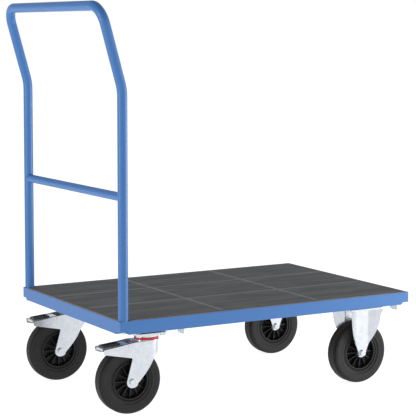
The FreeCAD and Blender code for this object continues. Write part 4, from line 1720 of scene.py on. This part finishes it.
@dataclass(frozen=True)
class AreaLamp:
    """A soft upright lamp: its place, aim, width and height in metres and its power in watts."""

    name: str
    place: Triple
    aim: Triple
    width: float
    height: float
    power: float

    def build(self) -> None:
        """Add the lamp."""
        data = bpy.data.lights.new(self.name, "AREA")
        data.shape = "RECTANGLE"
        data.size = self.width
        data.size_y = self.height
        data.energy = self.power
        lamp = bpy.data.objects.new(self.name, data)
        lamp.location = self.place
        lamp.rotation_mode = "QUATERNION"
        lamp.rotation_quaternion = (Vector(self.aim) - Vector(self.place)).to_track_quat("-Z", "Y")
        bpy.context.scene.collection.objects.link(lamp)


@dataclass
class Studio:
    """Pale floor, a bright horizon under a darker ceiling, and soft lamps.

    The lee and the screen are directions in which the surroundings are darker. A spread gives the
    cosines of the angles to that direction between which the shade comes in.
    """

    floor_size: float = 80.0
    floor_colour: Colour = (0.5, 0.5, 0.5)
    floor_light: Colour = (1.0, 1.0, 1.0)
    floor_glow: float = 0.86
    horizon: Colour = (1.0, 1.0, 1.0)
    ceiling: Colour = (0.34, 0.35, 0.37)
    lee: Triple = (-0.5, 0.866, 0.0)
    lee_spread: tuple[float, float] = (0.6, 0.97)
    screen: Triple = (0.94, 0.34, 0.0)
    screen_spread: tuple[float, float] = (0.95, 0.985)
    shade: float = 0.8
    horizon_fade: tuple[float, float] = (0.05, 0.65)
    floor_drift: Noise = Noise(0.8)
    lamps: tuple[AreaLamp, ...] = (
        AreaLamp("key_lamp", (2.2, -1.3, 0.55), (0.5, -0.35, 0.28), 1.1, 1.1, 42.0),
        AreaLamp("end_lamp", (-4.0, -0.1, 1.2), (-0.4, 0.0, 0.7), 0.5, 2.2, 46.0),
    )

    def sky(self) -> None:
        """Make the surroundings."""
        world = bpy.data.worlds.new("studio")
        bpy.context.scene.world = world
        world.use_nodes = True
        graph = Graph(world.node_tree, "Generated")
        colour = graph.blend(graph.height().between(*self.horizon_fade), self.horizon, self.ceiling)
        for direction, spread in ((self.lee, self.lee_spread), (self.screen, self.screen_spread)):
            share = graph.towards(direction).between(*spread) * self.shade
            colour = graph.blend(share, colour, self.ceiling)
        background = graph.node("ShaderNodeBackground", {}, {"Color": colour, "Strength": 1.0})
        graph.node("ShaderNodeOutputWorld", {}, {"Surface": background.outputs[0]})

    def floor(self) -> None:
        """Make the floor, which glows a little so that shadows stay pale."""
        shape = Shape()
        bmesh.ops.create_grid(shape.mesh, x_segments=1, y_segments=1, size=self.floor_size / 2)
        data = bpy.data.meshes.new("studio_floor")
        shape.mesh.to_mesh(data)
        thing = bpy.data.objects.new("studio_floor", data)
        bpy.context.scene.collection.objects.link(thing)
        material = bpy.data.materials.new("floor_paint")
        material.use_nodes = True
        graph = Graph(material.node_tree)
        drift = graph.noise(self.floor_drift)
        colour = graph.blend(drift, tuple(c * 0.98 for c in self.floor_colour), self.floor_colour)
        graph.surface(colour, 0.9 + 0.05 * drift, drift, 0.01, {
            "Emission Color": self.floor_light, "Emission Strength": self.floor_glow})
        data.materials.append(material)

    def build(self) -> None:
        """Build the studio."""
        bpy.context.scene.view_settings.view_transform = "Standard"
        self.sky()
        self.floor()
        for lamp in self.lamps:
            lamp.build()


@dataclass
class Camera:
    """Three-quarter view from behind and to the right; place in millimetres, angles in radians."""

    place: Triple = (-2465.6, -4292.9, 1144.5)
    turn: float = 0.5231
    tilt: float = 0.0833
    lens: float = 132.61
    sensor: float = 36.0
    shift: float = -0.12
    reach: float = 200.0

    def build(self) -> None:
        """Make the camera and set it as the scene's."""
        data = bpy.data.cameras.new("view_camera")
        data.lens = self.lens
        data.sensor_width = self.sensor
        data.shift_y = self.shift
        data.clip_end = self.reach
        camera = bpy.data.objects.new("view_camera", data)
        camera.location = Vector(self.place) * MILLIMETRE
        level = math.cos(self.tilt)
        ahead = Vector((math.sin(self.turn) * level, math.cos(self.turn) * level, -math.sin(self.tilt)))
        camera.rotation_mode = "QUATERNION"
        camera.rotation_quaternion = ahead.to_track_quat("-Z", "Y")
        bpy.context.scene.collection.objects.link(camera)
        bpy.context.scene.camera = camera


def main() -> None:
    """Load the frame and build every sub-assembly around it."""
    logging.basicConfig(level=logging.INFO, format="%(message)s")
    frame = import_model()
    palette = Palette()
    for node in frame["nodes"].values():
        palette.dress_node(node)
    maker = Maker(palette)
    for assembly in (PlatformFrame(maker), Deck(maker), PushBow(maker), FixedCastor(maker),
                     SwivelCastor(maker), Brake(maker), Wheel(maker), Fixings(maker), Studio(), Camera()):
        assembly.build()


if __name__ == "__main__":
    main()
